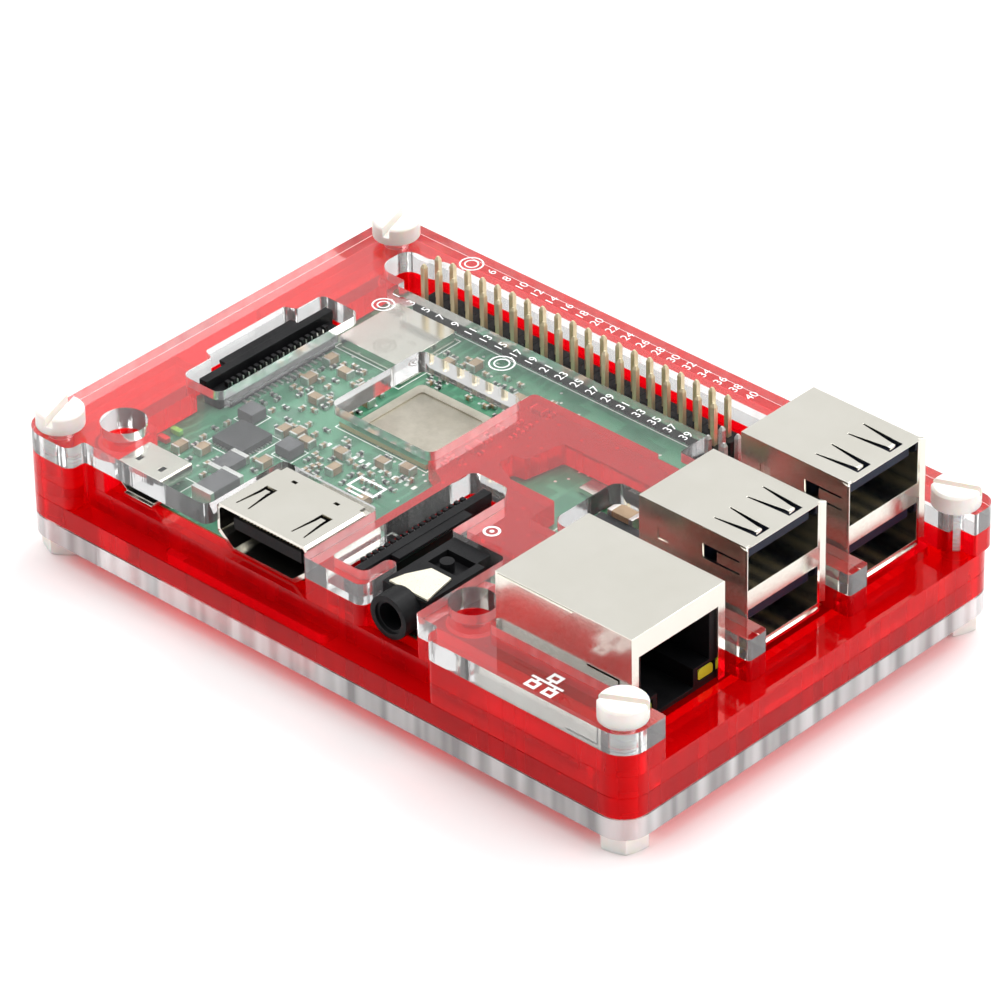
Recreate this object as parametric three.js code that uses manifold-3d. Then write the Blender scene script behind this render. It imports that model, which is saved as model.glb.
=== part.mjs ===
// A single board computer in a five-layer acrylic case. Millimetres, +Z up.
// Everything is drawn in the board's own frame: X runs along the board from its display end,
// Y from its front edge to its pin header, and Z = 0 is the underside of the base plate.
import * as THREE from 'three';
import { mergeVertices } from 'three/addons/utils/BufferGeometryUtils.js';
import Module from 'manifold-3d';

const wasm = await Module();
wasm.setup();

// ---------------------------------------------------------------- sizes

const BOARD = { length: 85, width: 56, thickness: 1.4, corner: 3, sink: 0.3 };
const HOLE = { radius: 1.375, inset: 3.5, pitch: 58, rear: 3.5 };
const SHEET = { pitch: 3, gap: 0.05 };
const CASE = { left: 5.4, right: 8.6, front: 5.6, back: 4.4, corner: 3.6 };
const BOLT = { inset: 3.6, radius: 1.5, headRadius: 3.05, headHeight: 2.4, slot: 0.9, slotDepth: 1.3 };
const NUT = { flats: 5.5, height: 2.4, chamfer: 0.5, tipInset: 0.4 };
const FIT = { board: 0.5, tail: 0.1, solder: 0.05, shank: 0.15, port: 0.45, insert: 0.1, slot: 0.5 };
const EAR = { frontInset: 2.6, leftEnd: 3.2, rightStart: 62.2, step: 1.5, end: 2.8, lead: 1.6 };

const HEADER = { columns: 20, rows: 2, pitch: 2.54, pin: 0.64, base: 2.54, top: 8.5 };
const POWER_HEADER = { x: 62.05, gap: 0.67, columns: 2, rows: 2, top: 8.5 };
const NETWORK = { centre: 10.25, width: 16, depth: 21.2, height: 13.3, overhang: 2.5, wall: 0.45 };
const NETWORK_FLAP = { start: 0.25, drop: 2.9, slope: 2.7, length: 12, thickness: 0.2 };
const JACK_MOUTH = { width: 11.8, height: 8.2, sill: 1.5, keyWidth: 6.2, keyHeight: 1.7, depth: 14 };
const DATA = { toRear: [20.45, 2.45], width: 13.1, depth: 16.6, height: 15.6, overhang: 2, wall: 0.4 };
const DATA_PORT = { height: 5.3, sill: 1.3, web: 2.7, webDepth: 11.5, tongue: 1.8, tongueDrop: 0.7 };
const DATA_FLANGE = { near: 0.25, far: 0.75, lip: 0.5, thickness: 0.35 };
const DATA_FINGER = {
  spread: 2.9, setback: 0.6, length: 6.3, rootHalf: 1.3, tipHalf: 0.5, tipLength: 1.2, window: 0.7, slit: 0.2,
};
const DATA_SIDE = {
  drop: 2.4, height: 2, windowBack: 6.7, windowFront: 4.5, slitFront: 1, slit: 0.3,
  dent: 1.6, dentBack: 12.9, dentDrop: 4, dentDepth: 0.15,
};
const VIDEO = { centre: 32, width: 15, depth: 10.9, height: 5.9, overhang: 1.6, wall: 0.4, lift: 0.35 };
const VIDEO_FINGER = {
  spread: 4.6, setback: 6.5, length: 5.1, rootHalf: 0.9, tipHalf: 0.4, tipLength: 1.5, window: 0.45,
  slit: 0.2,
};
const VIDEO_WINDOW = { spread: 3.5, width: 0.8, length: 0.5, fromBack: 1.75, corner: 1 };
const POWER_PORT = {
  centre: 10.7, width: 7.5, depth: 5.3, height: 2.45, overhang: 1.1, wall: 0.3, lift: 0.35,
};
const AUDIO = { centre: 53.5, width: 7, depth: 12.2, height: 5.5, setback: 0.3 };
const AUDIO_PLATE = {
  shoulder: 2.3, tail: 5.1, leftWaist: 1.35, leftTail: 2.8, rightTail: 1, thickness: 0.3,
};
const AUDIO_BOSS = { left: 0.4, far: 7.7, radius: 0.9, rise: 0.3 };
const BARREL = { radius: 2.9, reach: 2.5, bore: 1.8, boreDepth: 9, axisHeight: 3.25 };
const FLEX = { length: 22.2, width: 2.7, height: 4.1, foot: 0.7, latch: 1.3, leg: 0.6, legDrop: 2.6 };
const FLEX_SLOT = {
  rack: 0.9, width: 0.5, depth: 3, cable: 16.5, ledge: 1.35, ledgeLength: 12.6, lip: 0.2,
};
const CAMERA = { x: 45.4, y: 11.4 };
const DISPLAY = { x: 4.05, y: 28.2 };
const PROCESSOR = { x: 26.2, y: 32.2, side: 14.6, base: 0.7, lid: 13, lidHeight: 0.9, rim: 1.3, dish: 0.25 };
const SHIELD = { x: 11.2, fromRear: 12.7, length: 10.2, width: 10.6, height: 1.5, wall: 0.25 };
const CARD = { y: 28, length: 13.2, width: 12, height: 1.25, wall: 0.2, mouth: 0.75 };

// Openings of the clear top and of the frame under it, each tied to what it goes round.
const VIDEO_BAY = { side: 0.4, rear: 0.9 };
const CAMERA_BAY = { left: 1.4, near: 1.0, far: 1.1, right: 1.4, tipBack: 3.4, tipWidth: 1.8 };
const AUDIO_BAY = { left: 0.2, right: 1.3, rear: 0.1, far: 2.7, strip: 3.4 };
const WINDOW = { left: 0.3, right: 3.7, near: 2.8, far: 0.5, corner: 1.2 };
const PIN_BAY = { near: 2.0, far: 2.3, left: 0.4, lobe: 1.8, lobeRadius: 2.9 };
const POWER_BAY = { left: 3.65, near: 3.7, right: 4.5 };
const DISPLAY_BAY = { side: 1.4, right: 2.4, ledge: 1.7, near: 1.6, far: 0.9 };
const ACCESS = { radius: 2.95 };
const HUB_BAY = { left: 9.4, near: 0.45, far: 11.0 };
const BRIDGE = {
  left: 35, right: 55.3, rear: 13.4, stepRear: 14.2, kneeNear: 21, kneeFar: 23.6, rimRight: 3.8,
};
const HUB_WINDOW = { left: 42.4, near: 4.3, far: 14.3, shoulder: 45.3, waist: 53.2 };
const DATA_ROOT = { columnWidth: 4.2 };

// ---------------------------------------------------------------- materials

function finish(color, roughness, metalness, opacity = 1) {
  return new THREE.MeshStandardMaterial({
    color, roughness, metalness, opacity, transparent: opacity < 1, flatShading: true,
  });
}

const clearAcrylic = finish(0xeef2f2, 0.08, 0, 0.3);
const redAcrylic = finish(0xd3000e, 0.12, 0, 0.85);
const nylon = finish(0xf6efe6, 0.5, 0);
const solderMask = finish(0x1f7a4a, 0.4, 0);
const nickel = finish(0xd9d5ca, 0.28, 1);
const tinned = finish(0xc9c9c4, 0.35, 1);
const gilt = finish(0xc9b16a, 0.3, 1);
const blackPlastic = finish(0x17181a, 0.5, 0);
const navyPlastic = finish(0x20242f, 0.45, 0);
const ivoryPlate = finish(0xf0ead2, 0.4, 0.3);
const chipResin = finish(0x2b2d30, 0.55, 0);
const lidMetal = finish(0xb7b1a5, 0.4, 1);
const ferrite = finish(0x4b4a4c, 0.6, 0.2);
const ceramic = finish(0xa98f6d, 0.5, 0);
const amberLens = finish(0xc8d31a, 0.2, 0);
const greenLens = finish(0x79c943, 0.2, 0);
const redLens = finish(0xd8342b, 0.2, 0);

// ---------------------------------------------------------------- solids

const X_AXIS = new THREE.Vector3(1, 0, 0);
const Y_AXIS = new THREE.Vector3(0, 1, 0);
const Z_AXIS = new THREE.Vector3(0, 0, 1);

function solid(geometry) {
  const bare = geometry.clone();
  bare.deleteAttribute('normal');
  bare.deleteAttribute('uv');
  const merged = mergeVertices(bare, 1e-4);
  return new wasm.Manifold(new wasm.Mesh({
    numProp: 3,
    vertProperties: new Float32Array(merged.attributes.position.array),
    triVerts: new Uint32Array(merged.index.array),
  }));
}

function cut(body, ...tools) {
  return tools.flat().reduce((left, tool) => left.subtract(tool), body);
}

function join(first, ...others) {
  return others.flat().reduce((sum, other) => sum.add(other), first);
}

// A closed outline whose corners are [x, y, radius]; the radius may be left out.
function outline(corners) {
  const shape = new THREE.Shape();
  corners.forEach(([x, y, radius = 0], index) => {
    const before = corners.at(index - 1);
    const after = corners[(index + 1) % corners.length];
    const here = new THREE.Vector2(x, y);
    const back = new THREE.Vector2(before[0], before[1]).sub(here);
    const ahead = new THREE.Vector2(after[0], after[1]).sub(here);
    const half = Math.acos(back.dot(ahead) / back.length() / ahead.length()) / 2;
    const reach = Math.min(radius / Math.tan(half), back.length() / 2, ahead.length() / 2);
    if (reach < 0.01) {
      index === 0 ? shape.moveTo(x, y) : shape.lineTo(x, y);
      return;
    }
    const fillet = reach * Math.tan(half);
    const start = here.clone().add(back.clone().setLength(reach));
    const bisector = back.clone().normalize().add(ahead.clone().normalize());
    const centre = here.clone().add(bisector.setLength(fillet / Math.sin(half)));
    const end = here.clone().add(ahead.clone().setLength(reach));
    const from = Math.atan2(start.y - centre.y, start.x - centre.x);
    const to = Math.atan2(end.y - centre.y, end.x - centre.x);
    if (index === 0) shape.moveTo(start.x, start.y);
    shape.absarc(centre.x, centre.y, fillet, from, to, back.cross(ahead) > 0);
  });
  shape.closePath();
  return shape;
}

function rectangle(x0, x1, y0, y1, radius = 0) {
  return outline([[x0, y0, radius], [x1, y0, radius], [x1, y1, radius], [x0, y1, radius]]);
}

// Extrudes an outline along one axis. Along X the outline is (y, z); along Y it is (x, z).
function extrude(axis, shape, start, end, segments = 3) {
  const options = { depth: end - start, bevelEnabled: false, curveSegments: segments };
  const place = new THREE.Matrix4();
  if (axis === 'x') place.makeBasis(Y_AXIS, Z_AXIS, X_AXIS).setPosition(start, 0, 0);
  if (axis === 'y') place.makeBasis(X_AXIS, Z_AXIS, Y_AXIS.clone().negate()).setPosition(0, end, 0);
  if (axis === 'z') place.setPosition(0, 0, start);
  return solid(new THREE.ExtrudeGeometry(shape, options).applyMatrix4(place));
}

function block(x0, x1, y0, y1, z0, z1) {
  const box = new THREE.BoxGeometry(x1 - x0, y1 - y0, z1 - z0);
  return solid(box.translate((x0 + x1) / 2, (y0 + y1) / 2, (z0 + z1) / 2));
}

// A round, or with few sides a polygonal, bar standing on Z.
function bar(x, y, radius, z0, z1, sides = 24) {
  const cylinder = new THREE.CylinderGeometry(radius, radius, z1 - z0, sides).rotateX(Math.PI / 2);
  return solid(cylinder.translate(x, y, (z0 + z1) / 2));
}

// A turned form about a vertical axis; the profile runs from axis to axis.
function turned(x, y, profile, sides = 28) {
  const points = profile.map(([radius, z]) => new THREE.Vector2(radius, z));
  const lathe = new THREE.LatheGeometry(points, sides).rotateX(Math.PI / 2);
  return solid(lathe.translate(x, y, 0));
}

const model = new THREE.Group();
const boardFrame = new THREE.Group();
model.add(boardFrame);

function addPart(name, body, material) {
  const { vertProperties, triVerts } = body.getMesh();
  const geometry = new THREE.BufferGeometry();
  geometry.setAttribute('position', new THREE.BufferAttribute(new Float32Array(vertProperties), 3));
  geometry.setIndex(new THREE.BufferAttribute(new Uint32Array(triVerts), 1));
  geometry.computeVertexNormals();
  const mesh = new THREE.Mesh(geometry, material);
  mesh.name = name;
  boardFrame.add(mesh);
}

// ---------------------------------------------------------------- levels and edges

const x0 = -CASE.left;
const x1 = BOARD.length + CASE.right;
const y0 = -CASE.front;
const y1 = BOARD.width + CASE.back;
const deck = 3 * SHEET.pitch - BOARD.sink;
const underside = deck - BOARD.thickness;
const tailEnd = 2 * SHEET.pitch + FIT.tail;
const seat = deck + FIT.solder;
const stackTop = 5 * SHEET.pitch;
const footHeight = NUT.height + SHEET.gap;
const strip = y0 + EAR.frontInset;
const rearRow = BOARD.width - HOLE.rear;
boardFrame.position.set(-(x0 + x1) / 2, -(y0 + y1) / 2, footHeight);

const boltPlaces = {
  front_left: [x0 + BOLT.inset, y0 + BOLT.inset],
  front_right: [x1 - BOLT.inset, y0 + BOLT.inset],
  back_left: [x0 + BOLT.inset, y1 - BOLT.inset],
  back_right: [x1 - BOLT.inset, y1 - BOLT.inset],
};
const boardHoles = [
  [HOLE.inset, HOLE.inset],
  [HOLE.inset + HOLE.pitch, HOLE.inset],
  [HOLE.inset, rearRow],
  [HOLE.inset + HOLE.pitch, rearRow],
];

const networkBack = BOARD.length + NETWORK.overhang - NETWORK.depth;
const networkFront = BOARD.length + NETWORK.overhang;
const networkFar = NETWORK.centre + NETWORK.width / 2;
const dataBack = BOARD.length + DATA.overhang - DATA.depth;
const dataFront = BOARD.length + DATA.overhang;
const dataCentres = DATA.toRear.map((gap) => (
  Number((BOARD.width - gap - DATA.width / 2).toFixed(4))
));
const dataNearSide = dataCentres.map((centre) => centre - DATA.width / 2);
const dataFarSide = dataCentres.map((centre) => centre + DATA.width / 2);
const fingerEnd = x1 - EAR.end;
const headerLeft = HOLE.inset + HOLE.pitch / 2 - HEADER.columns * HEADER.pitch / 2;
const headerRight = headerLeft + HEADER.columns * HEADER.pitch;
const powerRow = rearRow - (HEADER.rows + POWER_HEADER.rows) * HEADER.pitch / 2 - POWER_HEADER.gap;

// ---------------------------------------------------------------- the acrylic case

// One laser-cut sheet: level 0 is the base plate and level 4 the clear top.
function sheet(level, shape, openings) {
  const bottom = level * SHEET.pitch;
  const top = bottom + SHEET.pitch - SHEET.gap;
  const through = (opening) => extrude('z', opening, bottom - 1, top + 1);
  const bores = Object.values(boltPlaces).map(([x, y]) => (
    bar(x, y, BOLT.radius + FIT.shank, bottom - 1, top + 1)
  ));
  return cut(extrude('z', shape, bottom, top), openings.map(through), bores);
}

const plainOutline = rectangle(x0, x1, y0, y1, CASE.corner);

// The front edge steps back between the two ears, in front of the ports.
const steppedOutline = outline([
  [x0, y0, CASE.corner],
  [EAR.leftEnd, y0, EAR.lead],
  [EAR.leftEnd, strip, 0.5],
  [EAR.rightStart, strip, 0.5],
  [EAR.rightStart, y0, EAR.lead],
  [x1, y0, CASE.corner],
  [x1, y1, CASE.corner],
  [x0, y1, CASE.corner],
]);

// Both upper sheets are open at the VIDEO, camera, audio, network and DATA ports.
function portedOutline() {
  const videoLeft = VIDEO.centre - VIDEO.width / 2 - VIDEO_BAY.side;
  const videoRight = VIDEO.centre + VIDEO.width / 2 + VIDEO_BAY.side;
  const videoRear = VIDEO.depth - VIDEO.overhang + VIDEO_BAY.rear;
  const cameraLeft = CAMERA.x - FLEX.width / 2 - CAMERA_BAY.left;
  const cameraNear = CAMERA.y - FLEX.length / 2 - CAMERA_BAY.near;
  const cameraFar = CAMERA.y + FLEX.length / 2 + CAMERA_BAY.far;
  const cameraRight = CAMERA.x + FLEX.width / 2 + FLEX_SLOT.ledge + CAMERA_BAY.right;
  const audioLeft = AUDIO.centre - AUDIO.width / 2 - AUDIO_BAY.left;
  const audioRight = AUDIO.centre + AUDIO.width / 2 + AUDIO_BAY.right;
  const audioFar = AUDIO.setback + AUDIO.depth + AUDIO_BAY.rear;
  const tipLeft = audioLeft - CAMERA_BAY.tipWidth;
  const tipRound = CAMERA_BAY.tipWidth / 2;
  const fingerNear = [networkFar + FIT.port, dataFarSide[0] + DATA_FLANGE.far + FIT.port / 2];
  const fingerFar = dataNearSide.map((side) => side - DATA_FLANGE.near - FIT.port / 2);
  const earNear = dataFarSide[1] + DATA_FLANGE.far + FIT.port / 2;
  return outline([
    [x0, y0, CASE.corner],
    [EAR.leftEnd, y0, EAR.lead],
    [EAR.leftEnd, strip, 0.5],
    [videoLeft, strip, 1.2],
    [videoLeft, videoRear, 0.8],
    [videoRight, videoRear, 0.8],
    [videoRight, strip, 0.8],
    [audioLeft, strip, 1.2],
    [audioLeft, CAMERA_BAY.tipBack, tipRound],
    [tipLeft, CAMERA_BAY.tipBack, tipRound],
    [tipLeft, cameraNear, 1.2],
    [cameraLeft, cameraNear, 0.6],
    [cameraLeft, cameraFar, 1.2],
    [cameraRight - 1.2, cameraFar, 1.0],
    [cameraRight, cameraFar - 1.8, 0.6],
    [cameraRight, audioFar, 0.3],
    [audioRight, audioFar, 0.8],
    [audioRight, strip, 0.6],
    [EAR.rightStart, strip, 0.5],
    [EAR.rightStart, y0, EAR.lead],
    [x1, y0, CASE.corner],
    [x1, NETWORK.centre - NETWORK.width / 2 - 2 * FIT.port, 0.3],
    [networkBack - FIT.slot, NETWORK.centre - NETWORK.width / 2 - 2 * FIT.port, 0.8],
    [networkBack - FIT.slot, fingerNear[0], 0.8],
    [fingerEnd, fingerNear[0], 0.5],
    [fingerEnd, fingerFar[0], 0.5],
    [dataBack - FIT.slot, fingerFar[0], 0.5],
    [dataBack - FIT.slot, fingerNear[1], 0.5],
    [fingerEnd, fingerNear[1], 0.5],
    [fingerEnd, fingerFar[1], 0.5],
    [dataBack - FIT.slot, fingerFar[1], 0.5],
    [dataBack - FIT.slot, earNear, 0.5],
    [fingerEnd, earNear, 0.4],
    [fingerEnd, earNear + EAR.step, 0.4],
    [x1, earNear + EAR.step, 0.4],
    [x1, y1, CASE.corner],
    [x0, y1, CASE.corner],
  ]);
}

// The notch at the left edge lets a memory card, and the fingers pushing it, reach its socket.
function cardNotch(depth) {
  const half = CARD.width / 2 + 1;
  return rectangle(x0 - 3, depth, CARD.y - half, CARD.y + half, 1.5);
}

function basePlate() {
  const frontSlot = rectangle(16, 42.8, strip + 0.4, strip + 5.4, 0.8);
  return sheet(0, plainOutline, [cardNotch(CARD.length / 4), frontSlot]);
}

// The solder tails of the board stand on this sheet; its window clears the parts underneath.
function lowerFrame() {
  const window = rectangle(HOLE.inset + 4, BOARD.length - 6, HOLE.inset, rearRow - HEADER.pitch - 2, 2);
  return sheet(1, plainOutline, [cardNotch(CARD.length), window]);
}

// Holds the board's edge all round, and runs on under the overhanging ports.
function middleFrame() {
  const near = -FIT.board;
  const far = BOARD.width + FIT.board;
  const right = BOARD.length + FIT.board;
  const portEnd = Math.max(networkFront, dataFront + DATA_FLANGE.thickness) + FIT.slot;
  const portNear = NETWORK.centre - NETWORK.width / 2 - FIT.port;
  const portFar = dataFarSide[1] + DATA_FLANGE.far + FIT.port / 2;
  const bed = outline([
    [-FIT.board, near, BOARD.corner],
    [right, near, 0.5],
    [right, portNear, 0.3],
    [portEnd, portNear, 0.5],
    [portEnd, portFar, 0.5],
    [right, portFar, 0.3],
    [right, far, 0.5],
    [-FIT.board, far, BOARD.corner],
  ]);
  return sheet(2, steppedOutline, [bed, cardNotch(BOARD.corner)]);
}

// Both upper sheets are also open round the pin header and the display connector.
function pinBayEdges() {
  return {
    near: rearRow - HEADER.pitch - PIN_BAY.near,
    far: rearRow + HEADER.pitch / 2 + PIN_BAY.far,
    left: headerLeft - PIN_BAY.left,
  };
}

function displaySlot() {
  const left = DISPLAY.x - FLEX.width / 2 - DISPLAY_BAY.side;
  const right = DISPLAY.x + FLEX.width / 2 + DISPLAY_BAY.right;
  const near = DISPLAY.y - FLEX.length / 2 - DISPLAY_BAY.near;
  const far = DISPLAY.y + FLEX.length / 2 + DISPLAY_BAY.far;
  const ledgeLeft = DISPLAY.x - FLEX.width / 2 - FLEX_SLOT.ledge - DISPLAY_BAY.ledge;
  const ledgeNear = DISPLAY.y - FLEX_SLOT.ledgeLength / 2 - 0.6;
  const ledgeFar = DISPLAY.y + FLEX_SLOT.ledgeLength / 2 + 0.6;
  return outline([
    [left, near, 1.2],
    [right, near, 1.2],
    [right, far, 1.2],
    [left, far, 1],
    [left, ledgeFar + 0.6, 0.5],
    [ledgeLeft, ledgeFar, 0.6],
    [ledgeLeft, ledgeNear, 0.6],
    [left, ledgeNear - 0.6, 0.5],
  ]);
}

// The ported frame under the top: open over the board's left and its pin header, with a
// bridge that holds the board down and carries the tongues between the ports.
function upperFrame() {
  const rear = BOARD.width;
  const columnLeft = dataBack - FIT.slot - DATA_ROOT.columnWidth;
  const powerPortLeft = POWER_PORT.centre - POWER_PORT.width / 2 - FIT.slot;
  const videoRight = VIDEO.centre + VIDEO.width / 2 + VIDEO_BAY.side;
  const powerPortFar = POWER_PORT.depth - POWER_PORT.overhang + 2.4;
  const { near: pinNear, far: pinFar, left: pinLeft } = pinBayEdges();
  const boardWindow = outline([
    [powerPortLeft, strip - 1],
    [videoRight, strip - 1],
    [videoRight, BRIDGE.kneeNear, 0.5],
    [BRIDGE.left, BRIDGE.kneeFar, 0.8],
    [BRIDGE.left, rear - BRIDGE.rear, 0.8],
    [BRIDGE.right, rear - BRIDGE.rear, 0.3],
    [BRIDGE.right + 0.8, rear - BRIDGE.stepRear, 0.3],
    [columnLeft, rear - BRIDGE.stepRear, 0.8],
    [columnLeft, pinFar, 0.8],
    [pinLeft + 1, pinFar, 2],
    [pinLeft - 1.5, pinFar - 0.9, 1],
    [HOLE.inset - PIN_BAY.lobe, pinFar - 0.9, PIN_BAY.lobeRadius],
    [HOLE.inset - PIN_BAY.lobe, pinNear + 1.5, PIN_BAY.lobeRadius],
    [BRIDGE.rimRight, pinNear + 1.5, 0.5],
    [BRIDGE.rimRight, powerPortFar, 0.5],
    [powerPortLeft, powerPortFar, 0.8],
  ]);
  const hubRight = dataBack;
  const hubMid = dataNearSide[0] + HUB_WINDOW.near;
  const hubFar = dataNearSide[0] + HUB_WINDOW.far;
  const hubNear = dataNearSide[0] - DATA_FLANGE.near - FIT.port / 2;
  const hubWindow = outline([
    [HUB_WINDOW.left, hubMid + 1.6, 0.3],
    [HUB_WINDOW.shoulder + 0.5, hubMid, 0.3],
    [HUB_WINDOW.waist, hubMid, 0.5],
    [HUB_WINDOW.waist, hubNear, 0.3],
    [hubRight, hubNear],
    [hubRight, hubFar - 1],
    [hubRight - 2, hubFar, 0.5],
    [HUB_WINDOW.shoulder, hubFar, 0.5],
    [HUB_WINDOW.shoulder - 1.1, hubMid + 4.3, 0.3],
    [HUB_WINDOW.left, hubMid + 4, 0.3],
  ]);
  const audioLeft = AUDIO.centre - AUDIO.width / 2 - FIT.slot;
  const audioFar = AUDIO.setback + AUDIO.depth + AUDIO_BAY.far;
  const audioStrip = AUDIO.centre + AUDIO.width / 2 + AUDIO_BAY.strip;
  const audioWindow = outline([
    [audioLeft, 8],
    [AUDIO.centre + 1, 8],
    [audioStrip, 9.4, 0.3],
    [audioStrip, audioFar, 0.3],
    [audioLeft - 1, audioFar, 0.5],
    [audioLeft - 1, 8.5],
  ]);
  return sheet(3, portedOutline(), [boardWindow, displaySlot(), hubWindow, audioWindow]);
}

function topCover() {
  const { near: pinNear, far: pinFar, left: pinLeft } = pinBayEdges();
  const powerLeft = POWER_HEADER.x - POWER_BAY.left;
  const powerRight = POWER_HEADER.x + POWER_BAY.right;
  const powerNear = powerRow - POWER_BAY.near;
  const pinBay = outline([
    [pinLeft, pinNear, 0.5],
    [powerLeft, pinNear, 0.3],
    [powerLeft, powerNear, 0.3],
    [powerRight, powerNear, 0.8],
    [powerRight, pinFar, 0.8],
    [pinLeft + 1, pinFar, 2],
    [pinLeft - 1.5, pinFar - 0.9, 1],
    [HOLE.inset - PIN_BAY.lobe, pinFar - 0.9, PIN_BAY.lobeRadius],
    [HOLE.inset - PIN_BAY.lobe, pinNear + 1.5, PIN_BAY.lobeRadius],
    [pinLeft, pinNear + 1.5, 0.3],
  ]);
  const lidHalf = PROCESSOR.lid / 2;
  const processorWindow = rectangle(
    PROCESSOR.x - lidHalf - WINDOW.left, PROCESSOR.x + lidHalf + WINDOW.right,
    PROCESSOR.y - lidHalf - WINDOW.near, PROCESSOR.y + lidHalf + WINDOW.far, WINDOW.corner);
  const hubNotch = rectangle(networkBack - HUB_BAY.left, dataBack,
    dataNearSide[0] - HUB_BAY.near, dataNearSide[0] + HUB_BAY.far, 1.6);
  const access = (index) => {
    const [x, y] = boardHoles[index];
    return new THREE.Shape().absarc(x, y, ACCESS.radius, 0, 2 * Math.PI);
  };
  const openings = [pinBay, processorWindow, displaySlot(), hubNotch];
  const bottom = 4 * SHEET.pitch;
  const accessBores = [0, 1].map((index) => extrude('z', access(index), bottom - 1, stackTop + 1, 16));
  return cut(sheet(4, portedOutline(), openings), accessBores);
}

addPart('base_plate', basePlate(), clearAcrylic);
addPart('lower_frame', lowerFrame(), redAcrylic);
addPart('middle_frame', middleFrame(), redAcrylic);
addPart('upper_frame', upperFrame(), redAcrylic);
addPart('top_cover', topCover(), clearAcrylic);

// ---------------------------------------------------------------- fasteners

// A nylon cheese-head screw with a slot; the turn of each slot is as it was left.
function screw(x, y, turn) {
  const rim = 0.3;
  const headTop = stackTop + BOLT.headHeight;
  const body = turned(x, y, [
    [0, -NUT.height + NUT.tipInset],
    [BOLT.radius - rim, -NUT.height + NUT.tipInset],
    [BOLT.radius, -NUT.height + NUT.tipInset + rim],
    [BOLT.radius, stackTop],
    [BOLT.headRadius, stackTop],
    [BOLT.headRadius, headTop - rim],
    [BOLT.headRadius - rim, headTop],
    [0, headTop],
  ]);
  const slot = new THREE.BoxGeometry(2 * BOLT.headRadius + 1, BOLT.slot, 2 * BOLT.slotDepth);
  return cut(body, solid(slot.rotateZ(turn).translate(x, y, headTop)));
}

// A hexagon nut under the base plate; the four nuts are also the feet.
function nut(x, y, turn) {
  const across = NUT.flats / Math.sqrt(3);
  const prism = new THREE.CylinderGeometry(across, across, NUT.height, 6).rotateX(Math.PI / 2);
  const hexagon = solid(prism.rotateZ(turn).translate(x, y, -SHEET.gap - NUT.height / 2));
  const low = -SHEET.gap - NUT.height;
  const crown = turned(x, y, [
    [0, low],
    [NUT.flats / 2, low],
    [NUT.flats / 2 + 2 * NUT.chamfer, low + NUT.chamfer],
    [NUT.flats / 2 + 2 * NUT.chamfer, 0],
    [0, 0],
  ]);
  return cut(hexagon.intersect(crown), bar(x, y, BOLT.radius + FIT.shank, low - 1, 1));
}

const screwTurns = { front_left: 1.9, front_right: 2.6, back_left: 0.9, back_right: 0.4 };
for (const [place, [x, y]] of Object.entries(boltPlaces)) {
  addPart(`screw_${place}`, screw(x, y, screwTurns[place]), nylon);
  addPart(`nut_${place}`, nut(x, y, screwTurns[place] + 0.3), nylon);
}

// ---------------------------------------------------------------- the board and its headers

function pinGrid(columns, rows, centreX, centreY) {
  const places = [];
  for (let column = 0; column < columns; column += 1) {
    for (let row = 0; row < rows; row += 1) {
      places.push([
        centreX + (column - (columns - 1) / 2) * HEADER.pitch,
        centreY + (row - (rows - 1) / 2) * HEADER.pitch,
      ]);
    }
  }
  return places;
}

const headerCentre = (headerLeft + headerRight) / 2;
const headerPins = pinGrid(HEADER.columns, HEADER.rows, headerCentre, rearRow);
const powerPins = pinGrid(POWER_HEADER.columns, POWER_HEADER.rows, POWER_HEADER.x, powerRow);

function circuitBoard() {
  const slab = extrude('z', rectangle(0, BOARD.length, 0, BOARD.width, BOARD.corner),
    underside, deck, 4);
  const drill = ([x, y]) => bar(x, y, HOLE.radius, underside - 1, deck + 1, 20);
  const pinHole = ([x, y]) => bar(x, y, HEADER.pin * 0.8, underside - 1, deck + 1, 8);
  return cut(slab, boardHoles.map(drill), [...headerPins, ...powerPins].map(pinHole));
}

// A pin header: a plastic base with every pin moulded in, tails through the board.
function pinHeader(pins, top) {
  const half = HEADER.pin / 2;
  const tip = 0.35;
  const xs = pins.map(([x]) => x);
  const ys = pins.map(([, y]) => y);
  const margin = HEADER.pitch / 2;
  const base = block(Math.min(...xs) - margin, Math.max(...xs) + margin,
    Math.min(...ys) - margin, Math.max(...ys) + margin, seat, seat + HEADER.base);
  const profile = new THREE.CylinderGeometry(half * 0.7, half * Math.SQRT2, tip, 4);
  const posts = pins.map(([x, y]) => {
    const shaft = block(x - half, x + half, y - half, y + half,
      tailEnd, deck + top - tip);
    const point = profile.clone().rotateX(Math.PI / 2).rotateZ(Math.PI / 4);
    return shaft.add(solid(point.translate(x, y, deck + top - tip / 2)));
  });
  return join(base, posts);
}

addPart('circuit_board', circuitBoard(), solderMask);
addPart('pin_header', pinHeader(headerPins, HEADER.top), blackPlastic);
addPart('power_header', pinHeader(powerPins, POWER_HEADER.top), tinned);

// ---------------------------------------------------------------- network port

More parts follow.
